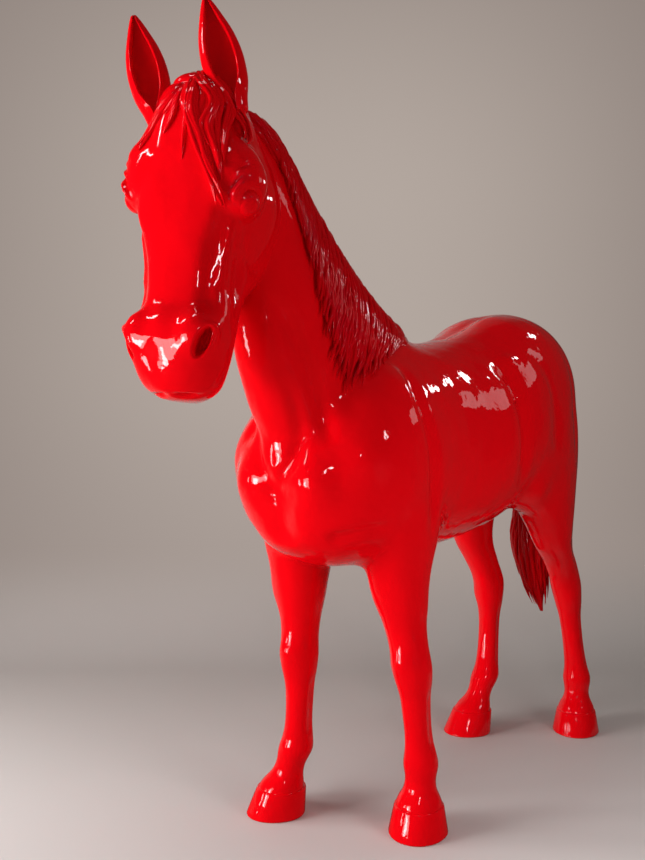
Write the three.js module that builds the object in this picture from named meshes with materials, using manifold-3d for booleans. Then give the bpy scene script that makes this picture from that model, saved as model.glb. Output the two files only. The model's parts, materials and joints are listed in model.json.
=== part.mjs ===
// A life-size standing horse sculpture: a glossy red moulded skin in bonded castings,
// carried by a welded steel frame that comes down through the legs to plates in the hooves.
// Millimetres, +Z up. The horse faces -Y and its left side is +X.

import * as THREE from "three";
import { mergeVertices } from "three/addons/utils/BufferGeometryUtils.js";
import Module from "manifold-3d";

const wasm = await Module();
wasm.setup();

// Driving dimensions of the body
const witherHeight = 1470;
const croupHeight = 1632;
const breastBottom = 790;
const chestHalfWidth = 296;
const barrelHalfWidth = 282;
const hipHalfWidth = 271;
const neckHalfWidth = 106;
const crestHeight = 2003;

// Driving dimensions of the head, measured from the poll
const headLength = 740;
const browHalfWidth = 187;
const cheekHalfWidth = 146;
const muzzleHalfWidth = 116;
const nostrilHalfWidth = 144;
const pollX = 25;
const pollY = -1165;
const pollHeight = 2000;
const headTurn = THREE.MathUtils.degToRad(14);
const headNod = THREE.MathUtils.degToRad(4);
const headTilt = THREE.MathUtils.degToRad(1.6);
const earLength = 264;
const earHalfWidth = 52;
const earSpread = { left: 107, right: 116 };
const earLean = { left: -18.5, right: -17.5 };
const earTurn = { left: 12, right: 6 };
const earWall = 9;
const eyeRadius = 31;
const eyeDrop = { left: 268, right: 234 };
const nostrilRise = 154;
const browRise = 56;

// Driving dimensions of the legs
const kneeHeight = 500;
const hockHeight = 570;
const foreJointHeight = 748;
const hindJointHeight = 770;
const hoofHeight = 84;
const hoofBaseRadius = 89;
const hoofTopRadius = 72;
const coronetRadius = 68;

// Driving dimensions of the skin and its bonded joints
const skinWall = 9;
const bondGap = 0.32;
const neckSeamBack = [-205, witherHeight + 38];
const neckSeamFront = [-900, witherHeight - 275];

// Driving dimensions of the tail, mane and forelock
const dockHeight = 1425;
const tailLength = 900;
const tailSpread = 63;
const tailLocks = 5;
const tailPinDiameter = 20;
const maneRelief = 24;
const maneLocks = 12;
const maneLockWidth = 46;
const forelockRelief = 15;
const forelockLockWidth = 21;

// Driving dimensions of the steel frame
const postDiameter = 42.4;
const postWall = 3.2;
const crossTubeDiameter = 48.3;
const crossTubeWall = 3.2;
const crossTubeReach = 205;
const postInset = 45;
const postSteps = 6;
const postSides = 8;
const shoulderTubeHeight = 1120;
const shoulderTubeY = -470;
const hipTubeHeight = 1230;
const hipTubeY = 470;
const spineTubeDiameter = 48.3;
const neckTubeDiameter = 42.4;
const neckTubeSteps = 6;
const tubeClearance = 0.32;
const formerThickness = 18;
const shoulderFormerY = -330;
const hipFormerY = 330;
const neckFormerShare = 0.5;
const formerHoleDiameter = 150;
const formerHoleMargin = 180;
const hoofPlateDiameter = 120;
const hoofPlateThickness = 10;
const plateHole = 13.5;
const anchorHole = 10.2;
const anchorNutWidth = 19;
const anchorNutHeight = 12;

// Finishes
const lacquer = { color: 0xd90d0a, roughness: 0.12, metalness: 0 };
const steel = { color: 0x8b8d8f, roughness: 0.45, metalness: 0.9 };
const plywood = { color: 0xc29a6b, roughness: 0.8, metalness: 0 };

// Geometry helpers

// A closed body through rings of points, with a fan over each end.
function loft(rings) {
  const count = rings[0].length;
  const positions = [];
  const index = [];
  for (const ring of rings) {
    for (const point of ring) {
      positions.push(point.x, point.y, point.z);
    }
  }
  for (let r = 0; r < rings.length - 1; r += 1) {
    for (let i = 0; i < count; i += 1) {
      const a = r * count + i;
      const b = r * count + ((i + 1) % count);
      index.push(a, b, a + count, b, b + count, a + count);
    }
  }
  const ends = [0, rings.length - 1];
  for (const end of ends) {
    const middle = new THREE.Vector3();
    rings[end].forEach((point) => middle.addScaledVector(point, 1 / count));
    const centre = positions.length / 3;
    positions.push(middle.x, middle.y, middle.z);
    for (let i = 0; i < count; i += 1) {
      const a = end * count + i;
      const b = end * count + ((i + 1) % count);
      index.push(...(end === 0 ? [b, a, centre] : [a, b, centre]));
    }
  }
  const geometry = new THREE.BufferGeometry();
  geometry.setAttribute("position", new THREE.Float32BufferAttribute(positions, 3));
  geometry.setIndex(index);
  return toSolid(geometry);
}

// The solid of a closed, merged geometry. Its faces are turned outwards if they point in.
function toSolid(geometry, matrix) {
  const bare = geometry.clone();
  bare.deleteAttribute("normal");
  bare.deleteAttribute("uv");
  if (matrix) {
    bare.applyMatrix4(matrix);
  }
  const merged = mergeVertices(bare, 1e-4);
  const vertProperties = Float32Array.from(merged.attributes.position.array);
  const triVerts = Uint32Array.from(merged.index.array);
  const solid = new wasm.Manifold(new wasm.Mesh({ numProp: 3, vertProperties, triVerts }));
  if (solid.volume() > 0) {
    return solid;
  }
  for (let i = 0; i < triVerts.length; i += 3) {
    [triVerts[i], triVerts[i + 1]] = [triVerts[i + 1], triVerts[i]];
  }
  return new wasm.Manifold(new wasm.Mesh({ numProp: 3, vertProperties, triVerts }));
}

const everyOther = (sections) => sections.filter((section, i) => i % 2 === 1);

function union(solids) {
  return solids.reduce((sum, solid) => sum.add(solid));
}

// One point of an oval whose four reaches differ; a power above 2 makes its half boxier.
function ovalPoint(angle, { right, left, up, down, upPower = 2, downPower = 2 }) {
  const c = Math.cos(angle);
  const s = Math.sin(angle);
  const power = s > 0 ? upPower : downPower;
  const x = (c > 0 ? right : -left) * Math.abs(c) ** (2 / power);
  const y = (s > 0 ? up : -down) * Math.abs(s) ** (2 / power);
  return [x, y];
}

function ovalRing(centre, rightward, upward, oval, sides) {
  return Array.from({ length: sides }, (_, i) => {
    const [x, y] = ovalPoint((2 * Math.PI * i) / sides, oval);
    return centre.clone().addScaledVector(rightward, x).addScaledVector(upward, y);
  });
}

// Upright sections of the trunk and neck, each from its top line to its bottom line.
// A section may be grown outwards, or shrunk inwards for the cavity.
function upperLoft(sections, sides, grow) {
  const rightward = new THREE.Vector3(1, 0, 0);
  const rings = sections.map((section) => {
    const { x = 0, top, low, half, waist = 0.5, upPower = 2, downPower = 2 } = section;
    const highest = new THREE.Vector3(x, top[0], top[1]);
    const lowest = new THREE.Vector3(x, low[0], low[1]);
    const height = highest.distanceTo(lowest);
    const upward = highest.clone().sub(lowest).normalize();
    const centre = lowest.clone().addScaledVector(upward, height * waist);
    const side = Math.max(half + grow, 2);
    const oval = {
      right: side,
      left: side,
      up: Math.max(height * (1 - waist) + grow, 2),
      down: Math.max(height * waist + grow, 2),
      upPower,
      downPower,
    };
    return ovalRing(centre, rightward, upward, oval, sides);
  });
  return loft(rings);
}

// Level sections from the top down, as on a leg or the hanging head. Front is towards -Y.
function levelLoft(sections, sides, grow) {
  const last = sections.length - 1;
  const rings = sections.map((section, i) => {
    const { x = 0, y = 0, z, front, back, outer, inner = outer } = section;
    const { frontPower = 2, backPower = 2, turn = 0 } = section;
    const rightward = new THREE.Vector3(Math.cos(turn), Math.sin(turn), 0);
    const forward = new THREE.Vector3(Math.sin(turn), -Math.cos(turn), 0);
    const oval = {
      right: Math.max(outer + grow, 2),
      left: Math.max(inner + grow, 2),
      up: Math.max(front + grow, 2),
      down: Math.max(back + grow, 2),
      upPower: frontPower,
      downPower: backPower,
    };
    const rise = i === 0 ? grow : 0;
    const sink = i === last ? grow : 0;
    return ovalRing(new THREE.Vector3(x, y, z + rise - sink), rightward, forward, oval, sides);
  });
  return loft(rings);
}

// A flattened lock of hair along points, facing outward, with a pointed tip.
function hairLock(points, outward, width, relief, steps) {
  const sides = 5;
  const curve = new THREE.CatmullRomCurve3(points);
  const rings = [];
  for (let i = 0; i <= steps; i += 1) {
    const t = i / steps;
    const tangent = curve.getTangent(t);
    const across = new THREE.Vector3().crossVectors(tangent, outward).normalize();
    const away = new THREE.Vector3().crossVectors(across, tangent).normalize();
    const taper = Math.sqrt(Math.max(1 - t, 0.004)) * (0.8 + 0.4 * Math.sin(Math.PI * t));
    const half = Math.max(width * taper, 1.2);
    const thick = Math.max(relief * taper, 1.2);
    const oval = { right: half, left: half, up: thick, down: thick };
    rings.push(ovalRing(curve.getPoint(t), across, away, oval, sides));
  }
  return loft(rings);
}

// A round bar along points, or a tube when it has a wall.
function bar(points, diameter, sides = 12, steps = 1, wall = 0) {
  const path = points.length > 2
    ? new THREE.CatmullRomCurve3(points)
    : new THREE.LineCurve3(points[0], points[1]);
  const circle = (outline, radius) => {
    const corners = Array.from({ length: sides }, (_, i) => {
      const angle = (2 * Math.PI * i) / sides;
      return new THREE.Vector2(radius * Math.cos(angle), radius * Math.sin(angle));
    });
    return outline.setFromPoints(corners);
  };
  const section = circle(new THREE.Shape(), diameter / 2);
  if (wall > 0) {
    section.holes.push(circle(new THREE.Path(), diameter / 2 - wall));
  }
  const geometry = new THREE.ExtrudeGeometry(section, {
    extrudePath: path,
    steps,
    bevelEnabled: false,
  });
  return toSolid(geometry);
}

function box(minimum, maximum) {
  const size = new THREE.Vector3().subVectors(maximum, minimum);
  const middle = new THREE.Vector3().addVectors(maximum, minimum).multiplyScalar(0.5);
  const geometry = new THREE.BoxGeometry(size.x, size.y, size.z);
  return toSolid(geometry, new THREE.Matrix4().makeTranslation(middle));
}

function ball(centre, radii, across = 16, down = 10) {
  const geometry = new THREE.SphereGeometry(1, across, down);
  const matrix = new THREE.Matrix4().makeTranslation(centre);
  return toSolid(geometry, matrix.scale(radii));
}

function mesh(name, solid, finish) {
  const { vertProperties, triVerts } = solid.getMesh();
  const geometry = new THREE.BufferGeometry();
  geometry.setAttribute("position", new THREE.BufferAttribute(vertProperties, 3));
  geometry.setIndex(new THREE.BufferAttribute(triVerts, 1));
  geometry.computeVertexNormals();
  const material = new THREE.MeshStandardMaterial({ ...finish, flatShading: true });
  const part = new THREE.Mesh(geometry, material);
  part.name = name;
  return part;
}

const point = (x, y, z) => new THREE.Vector3(x, y, z);

// Trunk: upright sections from the breast to the buttocks
const trunkSections = [
  { y: -824, top: witherHeight - 380, low: 960, half: 0.14 * chestHalfWidth, waist: 0.5 },
  { y: -808, top: witherHeight - 305, low: 905, half: 0.42 * chestHalfWidth, waist: 0.5 },
  { y: -780, top: witherHeight - 230, low: 862, half: 0.66 * chestHalfWidth, waist: 0.56 },
  { y: -730, top: witherHeight - 160, low: 825, half: 0.85 * chestHalfWidth, waist: 0.56 },
  { y: -650, top: witherHeight - 95, low: breastBottom + 6, half: 0.97 * chestHalfWidth, waist: 0.55 },
  { y: -530, top: witherHeight - 40, low: breastBottom, half: 0.99 * chestHalfWidth, waist: 0.53 },
  { y: -400, top: witherHeight - 22, low: breastBottom + 4, half: 0.95 * chestHalfWidth },
  { y: -250, top: witherHeight, low: breastBottom + 10, half: 0.94 * barrelHalfWidth },
  { y: -80, top: witherHeight + 21, low: breastBottom + 20, half: 0.98 * barrelHalfWidth },
  { y: 90, top: witherHeight + 68, low: breastBottom + 44, half: barrelHalfWidth },
  { y: 240, top: croupHeight - 28, low: breastBottom + 84, half: 0.99 * barrelHalfWidth },
  { y: 390, top: croupHeight, low: breastBottom + 150, half: hipHalfWidth },
  { y: 520, top: croupHeight - 8, low: breastBottom + 220, half: 0.95 * hipHalfWidth },
  { y: 620, top: croupHeight - 48, low: breastBottom + 270, half: 0.82 * hipHalfWidth },
  { y: 690, top: croupHeight - 115, low: breastBottom + 350, half: 0.6 * hipHalfWidth },
  { y: 728, top: croupHeight - 205, low: breastBottom + 450, half: 0.28 * hipHalfWidth },
].map(({ y, top, low, half, waist = 0.47 }) => ({
  top: [y, top],
  low: [y, low],
  half,
  waist,
  upPower: y > 200 ? 2.15 : 1.95,
  downPower: 2.1,
}));

// Neck: sections from inside the shoulders to inside the head
const neckSections = [
  { top: [-90, witherHeight - 110], low: [-600, witherHeight - 490], half: 1.6 * neckHalfWidth },
  { top: [-190, witherHeight - 5], low: [-765, witherHeight - 380], half: 1.58 * neckHalfWidth },
  { top: [-320, witherHeight + 52], low: [-872, witherHeight - 260], half: 1.44 * neckHalfWidth },
  { top: [-450, witherHeight + 130], low: [-919, witherHeight - 140], half: 1.25 * neckHalfWidth },
  { top: [-580, witherHeight + 232], low: [-950, witherHeight - 30], half: 1.12 * neckHalfWidth },
  { top: [-695, crestHeight - 196], low: [-961, crestHeight - 463], half: neckHalfWidth },
  { top: [-805, crestHeight - 88], low: [-975, crestHeight - 378], half: 0.95 * neckHalfWidth, x: 4 },
  { top: [-925, crestHeight], low: [-1005, crestHeight - 313], half: 0.9 * neckHalfWidth, x: 12 },
  { top: [-1060, crestHeight - 15], low: [-1075, crestHeight - 263], half: 0.78 * neckHalfWidth, x: 20 },
].map((section) => ({ waist: 0.44, upPower: 1.75, downPower: 2.15, ...section }));

// Legs: each limb follows its own line, and both limbs of a pair share their sections
const coronetSections = [
  { lift: 24, radius: coronetRadius - 6 },
  { lift: 0, radius: coronetRadius + 1 },
].map(({ lift, radius }) => (
  { z: hoofHeight + lift, front: radius, back: radius - 4, outer: radius, inner: radius }
));
const foreSections = [
  { z: 1250, front: 110, back: 100, outer: 84, inner: 84 },
  { z: 1100, front: 165, back: 135, outer: 112, inner: 95 },
  { z: 950, front: 160, back: 150, outer: 114, inner: 92 },
  { z: 860, front: 128, back: 138, outer: 108, inner: 92 },
  { z: foreJointHeight + 32, front: 104, back: 114, outer: 95, inner: 86 },
  { z: 0.5 * (foreJointHeight + kneeHeight) + 60, front: 80, back: 92, outer: 79, inner: 76 },
  { z: kneeHeight + 118, front: 64, back: 74, outer: 62, inner: 63 },
  { z: kneeHeight + 52, front: 61, back: 61, outer: 58, inner: 58 },
  { z: kneeHeight, front: 66, back: 58, outer: 61, inner: 61 },
  { z: kneeHeight - 52, front: 57, back: 56, outer: 53, inner: 53 },
  { z: kneeHeight - 100, front: 45, back: 50, outer: 45, inner: 45 },
  { z: kneeHeight - 205, front: 41, back: 48, outer: 41, inner: 41 },
  { z: 240, front: 46, back: 54, outer: 47, inner: 47 },
  { z: 205, front: 52, back: 60, outer: 53, inner: 53 },
  { z: 160, front: 46, back: 48, outer: 46, inner: 46 },
  { z: 128, front: 52, back: 51, outer: 51, inner: 51 },
  ...coronetSections,
];
const hoofSections = [
  { z: 0, front: hoofBaseRadius + 16, back: hoofBaseRadius - 8, outer: hoofBaseRadius },
  { z: 12, front: hoofBaseRadius + 14, back: hoofBaseRadius - 8, outer: hoofBaseRadius - 1 },
  { z: hoofHeight - 14, front: hoofTopRadius + 6, back: hoofTopRadius, outer: hoofTopRadius + 3 },
  { z: hoofHeight - bondGap / 2, front: hoofTopRadius, back: hoofTopRadius - 3, outer: hoofTopRadius },
];
const hindSections = [
  { z: 1400, front: 190, back: 150, outer: 110, inner: 80 },
  { z: 1250, front: 250, back: 215, outer: 124, inner: 92 },
  { z: 1100, front: 262, back: 232, outer: 118, inner: 92 },
  { z: 980, front: 218, back: 202, outer: 108, inner: 88 },
  { z: 880, front: 158, back: 162, outer: 96, inner: 80 },
  { z: hindJointHeight + 30, front: 112, back: 124, outer: 80, inner: 70 },
  { z: hockHeight + 130, front: 86, back: 100, outer: 64, inner: 58 },
  { z: hockHeight + 50, front: 72, back: 92, outer: 55, inner: 52 },
  { z: hockHeight, front: 70, back: 88, outer: 56, inner: 54 },
  { z: hockHeight - 75, front: 57, back: 68, outer: 49, inner: 48 },
  { z: hockHeight - 130, front: 45, back: 54, outer: 42, inner: 41 },
  { z: 340, front: 40, back: 50, outer: 40, inner: 40 },
  { z: 250, front: 43, back: 54, outer: 45, inner: 45 },
  { z: 202, front: 52, back: 62, outer: 54, inner: 54 },
  { z: 155, front: 46, back: 50, outer: 47, inner: 47 },
  { z: 126, front: 52, back: 52, outer: 52, inner: 52 },
  ...coronetSections,
];

// Each limb: its side (+1 is the horse's left), the line through its joints, and its hoof's turn
const limbs = [
  {
    name: "foreleg_left",
    place: "fore_left",
    side: 1,
    fore: true,
    toe: 0.32,
    line: [
      point(178, -398, 0),
      point(182, -400, hoofHeight),
      point(190, -404, 205),
      point(188, -420, 330),
      point(184, -440, kneeHeight),
      point(159, -450, 640),
      point(149, -464, foreJointHeight),
      point(166, -480, 950),
      point(165, -440, 1250),
    ],
  },
  {
    name: "foreleg_right",
    place: "fore_right",
    side: -1,
    fore: true,
    toe: 0.36,
    line: [
      point(-232, -566, 0),
      point(-216, -566, hoofHeight),
      point(-178, -550, 205),
      point(-166, -546, 330),
      point(-162, -545, kneeHeight),
      point(-166, -540, 640),
      point(-172, -530, foreJointHeight),
      point(-172, -500, 950),
      point(-165, -450, 1250),
    ],
  },
  {
    name: "hindleg_left",
    place: "hind_left",
    side: 1,
    fore: false,
    toe: 0.3,
    line: [
      point(179, 717, 0),
      point(178, 722, hoofHeight),
      point(173, 739, 202),
      point(163, 727, 340),
      point(139, 716, hockHeight - 20),
      point(140, 660, hockHeight + 90),
      point(150, 556, hindJointHeight),
      point(148, 475, 1000),
      point(130, 480, 1400),
    ],
  },
  {
    name: "hindleg_right",
    place: "hind_right",
    side: -1,
    fore: false,
    toe: 0.36,
    line: [
      point(-145, 442, 0),
      point(-138, 462, hoofHeight),
      point(-120, 520, 202),
      point(-119, 550, 340),
      point(-127, 572, hockHeight - 20),
      point(-147, 546, hockHeight + 90),
      point(-163, 504, hindJointHeight),
      point(-152, 470, 1000),
      point(-130, 480, 1400),
    ],
  },
];

// Where a limb's line crosses a height
function lineAt(line, z) {
  const upper = line.findIndex((knot) => knot.z >= z);
  if (upper <= 0) {
    return line[upper === 0 ? 0 : line.length - 1].clone().setZ(z);
  }
  const low = line[upper - 1];
  const high = line[upper];
  return low.clone().lerp(high, (z - low.z) / (high.z - low.z));
}

function limbLoft(limb, sides, grow) {
  const sections = (limb.fore ? foreSections : hindSections).map((section) => {
    const { x, y } = lineAt(limb.line, section.z);
    const turnShare = THREE.MathUtils.clamp((400 - section.z) / 280, 0, 1);
    const [outer, inner] = limb.side > 0 ? [section.outer, section.inner] : [section.inner, section.outer];
    return { ...section, x, y, outer, inner, turn: limb.side * limb.toe * turnShare };
  });
  return levelLoft(sections, sides, grow);
}

// Head: level sections in its own frame, whose origin is the poll and whose front is the face
const headSections = [
  { z: 44, y: 42, front: 26, back: 26, outer: 46 },
  { z: 30, y: 46, front: 58, back: 62, outer: 90 },
  { z: -14, y: 62, front: 88, back: 112, outer: 118 },
  { z: -85, y: 88, front: 117, back: 160, outer: cheekHalfWidth - 16, frontPower: 2.2, backPower: 2.4 },
  { z: -155, y: 108, front: 139, back: 188, outer: cheekHalfWidth, frontPower: 2.6, backPower: 3 },
  { z: -235, y: 122, front: 153, back: 206, outer: cheekHalfWidth + 5, frontPower: 3.3, backPower: 3 },
  { z: -310, y: 124, front: 151, back: 214, outer: cheekHalfWidth - 7, frontPower: 3.6, backPower: 3 },
  { z: -370, y: 110, front: 132, back: 208, outer: cheekHalfWidth - 22, frontPower: 3.6, backPower: 3 },
  { z: -425, y: 92, front: 109, back: 190, outer: cheekHalfWidth - 32, frontPower: 3.4, backPower: 2.6 },
  { z: -490, y: 76, front: 91, back: 124, outer: cheekHalfWidth - 25, frontPower: 3, backPower: 2.3 },
  { z: 190 - headLength, y: 68, front: 88, back: 106, outer: muzzleHalfWidth + 14, frontPower: 2.6 },
  { z: 130 - headLength, y: 56, front: 96, back: 102, outer: muzzleHalfWidth + 14, frontPower: 2.5 },
  { z: 72 - headLength, y: 54, front: 92, back: 96, outer: muzzleHalfWidth + 2, frontPower: 2.3 },
  { z: 26 - headLength, y: 60, front: 78, back: 84, outer: muzzleHalfWidth - 20 },
  { z: -headLength, y: 68, front: 42, back: 40, outer: 52 },
];

const headPlace = new THREE.Group();
headPlace.position.set(pollX, pollY, pollHeight);
headPlace.rotation.set(-headNod, headTilt, headTurn, "ZXY");
headPlace.updateMatrix();
const toBody = headPlace.matrix.toArray();
const toHead = headPlace.matrix.clone().invert().toArray();

// A section of the head at any height, and the face's surface there
function headSectionAt(z) {
  const lower = headSections.findIndex((section) => section.z <= z);
  const under = headSections[Math.max(lower, 1)];
  const over = headSections[Math.max(lower, 1) - 1];
  const share = (z - under.z) / (over.z - under.z);
  const mix = (key, fallback) => THREE.MathUtils.lerp(under[key] ?? fallback, over[key] ?? fallback, share);
  return { y: mix("y"), front: mix("front"), outer: mix("outer"), power: mix("frontPower", 2) };
}

function faceAt(x, z) {
  const { y, front, outer, power } = headSectionAt(z);
  const share = Math.min(Math.abs(x) / outer, 0.98);
  return point(x, y - front * (1 - share ** power) ** (1 / power), z);
}

const eyeDropOf = (side) => (side > 0 ? eyeDrop.left : eyeDrop.right);
const eyeCentre = (side) => point(side * (browHalfWidth - 26), 46, -eyeDropOf(side));
const eyeRadii = point(eyeRadius * 0.8, eyeRadius, eyeRadius * 0.84);
const grownBall = (centre, radii, grow, across, down) => (
  ball(centre, radii.clone().addScalar(grow), across, down)
);
const eyeBall = (side, grow) => grownBall(eyeCentre(side), eyeRadii, grow, 10, 6);

// Brow ridge, lids and nostril wing on one side of the head
function headReliefs(side, grow) {
  const lids = grownBall(
    eyeCentre(side).add(point(side * -4, 2, 8)),
    point(eyeRadius * 0.9, eyeRadius + 17, eyeRadius + 9),
    grow,
    10,
    6,
  );
  const brow = grownBall(
    point(side * (browHalfWidth - 82), 58, browRise - eyeDropOf(side)),
    point(92, 84, 106),
    grow,
    12,
    7,
  );
  const wing = grownBall(
    point(side * (nostrilHalfWidth - 68), 6, nostrilRise - headLength),
    point(58, 66, 66),
    grow,
    10,
    6,
  );
  return [lids, brow, wing];
}

function nostrilHole(side) {
  return ball(point(0, 0, 0), point(15, 26, 34), 8, 6)
    .rotate([0, side * 20, side * 32])
    .translate([side * (nostrilHalfWidth - 32), -40, nostrilRise - headLength]);
}

const chin = ball(point(0, 112, 46 - headLength), point(62, 52, 50), 10, 6);
const headForm = (grow) => union([
  levelLoft(headSections, 16, grow),
  ...headReliefs(1, grow),
  ...headReliefs(-1, grow),
]);
const headOutside = headForm(0).add(chin);
const headGrown = headForm(bondGap);
const headInside = levelLoft(
  everyOther(headSections),
  10,
  -skinWall - 7,
).subtract(eyeBall(1, skinWall)).subtract(eyeBall(-1, skinWall));

// The cavity inside all the skins; extra shrinks it for what stands against them
const neckInside = (extra) => upperLoft(
  neckSections.filter((section, i) => i % 2 === 0),
  10,
  -skinWall - 7 - extra,
);
const bodyInside = (extra) => union([
  upperLoft(everyOther(trunkSections), 10, -skinWall - 12 - extra),
  neckInside(extra),
  ...limbs.map((limb) => limbLoft(limb, 8, -skinWall - 6 - extra)),
]);
const cavity = bodyInside(0);

// Outside forms
const trunkSides = 20;
const neckSides = 16;
const limbSides = 12;
const bodyMuscles = [1, -1].flatMap((side) => [
  ball(point(side * 104, -722, 1040), point(104, 104, 130), 10, 6),
  ball(point(side * 160, -582, 1120), point(116, 148, 205), 12, 8),
  ball(point(side * 155, 360, 1180), point(122, 230, 300), 14, 9),
]);
const neckOutside = upperLoft(neckSections, neckSides, 0);
const trunkOutside = union([upperLoft(trunkSections, trunkSides, 0), ...bodyMuscles]);
const limbOutsides = limbs.map((limb) => limbLoft(limb, limbSides, 0));
const bodyOutside = union([trunkOutside, neckOutside, ...limbOutsides]);

// The seam between neck and trunk runs from before the withers to the top of the breast
const seamSlope = new THREE.Vector2(
  neckSeamFront[0] - neckSeamBack[0],
  neckSeamFront[1] - neckSeamBack[1],
).normalize();
const neckNormal = [0, seamSlope.y, -seamSlope.x];
const neckOffset = neckNormal[1] * neckSeamBack[0] + neckNormal[2] * neckSeamBack[1];
const aboveNeckSeam = (solid) => solid.trimByPlane(neckNormal, neckOffset + bondGap / 2);
const belowNeckSeam = (solid) => solid.trimByPlane(
  neckNormal.map((share) => -share),
  bondGap / 2 - neckOffset,
);
const leftOf = (solid) => solid.trimByPlane([1, 0, 0], bondGap / 2);
const rightOf = (solid) => solid.trimByPlane([-1, 0, 0], bondGap / 2);

// The space below a limb's joint with the trunk, which its leg casting takes
function legZone(limb) {
  const joint = (limb.fore ? foreJointHeight : hindJointHeight) + bondGap / 2;
  const [front, back] = limb.fore ? [-1000, 0] : [0, 1000];
  const reach = limb.side * 600;
  return box(point(Math.min(0, reach), front, -100), point(Math.max(0, reach), back, joint));
}

// Steel frame
const along = (...knots) => knots.map((knot) => point(...knot));
const shoulderTube = along(
  [-crossTubeReach, shoulderTubeY, shoulderTubeHeight],
  [crossTubeReach, shoulderTubeY, shoulderTubeHeight],
);
const hipTube = along(
  [-crossTubeReach, hipTubeY, hipTubeHeight],
  [crossTubeReach, hipTubeY, hipTubeHeight],
);
const spineLine = along(
  [0, shoulderTubeY + 0.3 * crossTubeDiameter, shoulderTubeHeight],
  [0, hipTubeY - 0.3 * crossTubeDiameter, hipTubeHeight],
);
const neckLine = along(
  [0, shoulderTubeY, shoulderTubeHeight],
  [0, -600, 1330],
  [0, -720, 1560],
  [4, -850, 1770],
  [20, -1000, 1880],
);
const around = (line, diameter, sides, steps) => (
  bar(line, diameter + 2 * tubeClearance, sides, steps)
);
const shoulderTubeSpace = around(shoulderTube, crossTubeDiameter);
const hipTubeSpace = around(hipTube, crossTubeDiameter);
const spineSpace = around(spineLine, spineTubeDiameter);
const neckTubeSpace = around(neckLine, neckTubeDiameter, 8, neckTubeSteps);

function postLine(limb) {
  const [tubeY, tubeZ] = limb.fore
    ? [shoulderTubeY, shoulderTubeHeight]
    : [hipTubeY, hipTubeHeight];
  const foot = lineAt(limb.line, hoofHeight).setZ(hoofPlateThickness + tubeClearance);
  const knots = limb.line.slice(1, -2).map((knot) => knot.clone());
  return [foot, ...knots, point(limb.side * (crossTubeReach - postInset), tubeY, tubeZ)];
}

const frame = new THREE.Group();
frame.add(mesh("shoulder_cross_tube", bar(shoulderTube, crossTubeDiameter, 12, 1, crossTubeWall), steel));
frame.add(mesh("hip_cross_tube", bar(hipTube, crossTubeDiameter, 12, 1, crossTubeWall), steel));
frame.add(mesh(
  "spine_tube",
  bar(spineLine, spineTubeDiameter, 12, 1, crossTubeWall)
    .subtract(shoulderTubeSpace)
    .subtract(hipTubeSpace),
  steel,
));
frame.add(mesh(
  "neck_tube",
  bar(neckLine, neckTubeDiameter, 8, neckTubeSteps, postWall)
    .subtract(shoulderTubeSpace)
    .subtract(spineSpace),
  steel,
));

// Posts, floor plates and anchor nuts, one set in each leg
for (const limb of limbs) {
  const crossTubeSpace = limb.fore ? shoulderTubeSpace : hipTubeSpace;
  const line = postLine(limb);
  const post = bar(line, postDiameter, postSides, postSteps, postWall).subtract(crossTubeSpace);
  frame.add(mesh(`post_${limb.place}`, post, steel));
  const { x, y } = line[0];
  const plate = bar(along([x, y, 0], [x, y, hoofPlateThickness]), hoofPlateDiameter, 16)
    .subtract(bar(along([x, y, -1], [x, y, hoofPlateThickness + 1]), plateHole, 10));
  frame.add(mesh(`floor_plate_${limb.place}`, plate, steel));
  const nutFoot = hoofPlateThickness + tubeClearance;
  const nut = bar(
    along([x, y, nutFoot], [x, y, nutFoot + anchorNutHeight]),
    anchorNutWidth / Math.cos(Math.PI / 6),
    6,
  ).subtract(bar(along([x, y, 0], [x, y, 99]), anchorHole, 10));
  frame.add(mesh(`anchor_nut_${limb.place}`, nut, steel));
}

// Plywood formers: the cavity's own outline, one board thick, with holes for the tubes
function former(solid, middle, normal) {
  const unit = normal.clone().normalize();
  const offset = unit.dot(middle);
  return solid
    .trimByPlane(unit.toArray(), offset - formerThickness / 2)
    .trimByPlane(unit.clone().negate().toArray(), -offset - formerThickness / 2);
}
const formerSpace = bodyInside(bondGap);
const lengthwise = point(0, 1, 0);
const neckFormerAt = new THREE.CatmullRomCurve3(neckLine);
const neckFormerMiddle = neckFormerAt.getPoint(neckFormerShare);
const neckFormerNormal = neckFormerAt.getTangent(neckFormerShare);
const formerHole = (y, z) => bar(along([0, y - 30, z], [0, y + 30, z]), formerHoleDiameter, 10);
const formers = {
  shoulder_former: former(formerSpace, point(0, shoulderFormerY, 0), lengthwise)
    .subtract(spineSpace)
    .subtract(formerHole(shoulderFormerY, witherHeight - formerHoleMargin))
    .subtract(formerHole(shoulderFormerY, breastBottom + formerHoleMargin)),
  hip_former: former(formerSpace, point(0, hipFormerY, 0), lengthwise)
    .subtract(spineSpace)
    .subtract(formerHole(hipFormerY, croupHeight - 1.3 * formerHoleMargin))
    .subtract(formerHole(hipFormerY, breastBottom + 1.6 * formerHoleMargin)),
  neck_former: former(
    neckInside(bondGap),
    neckFormerMiddle,
    neckFormerNormal,
  ).subtract(neckTubeSpace),
};

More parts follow.
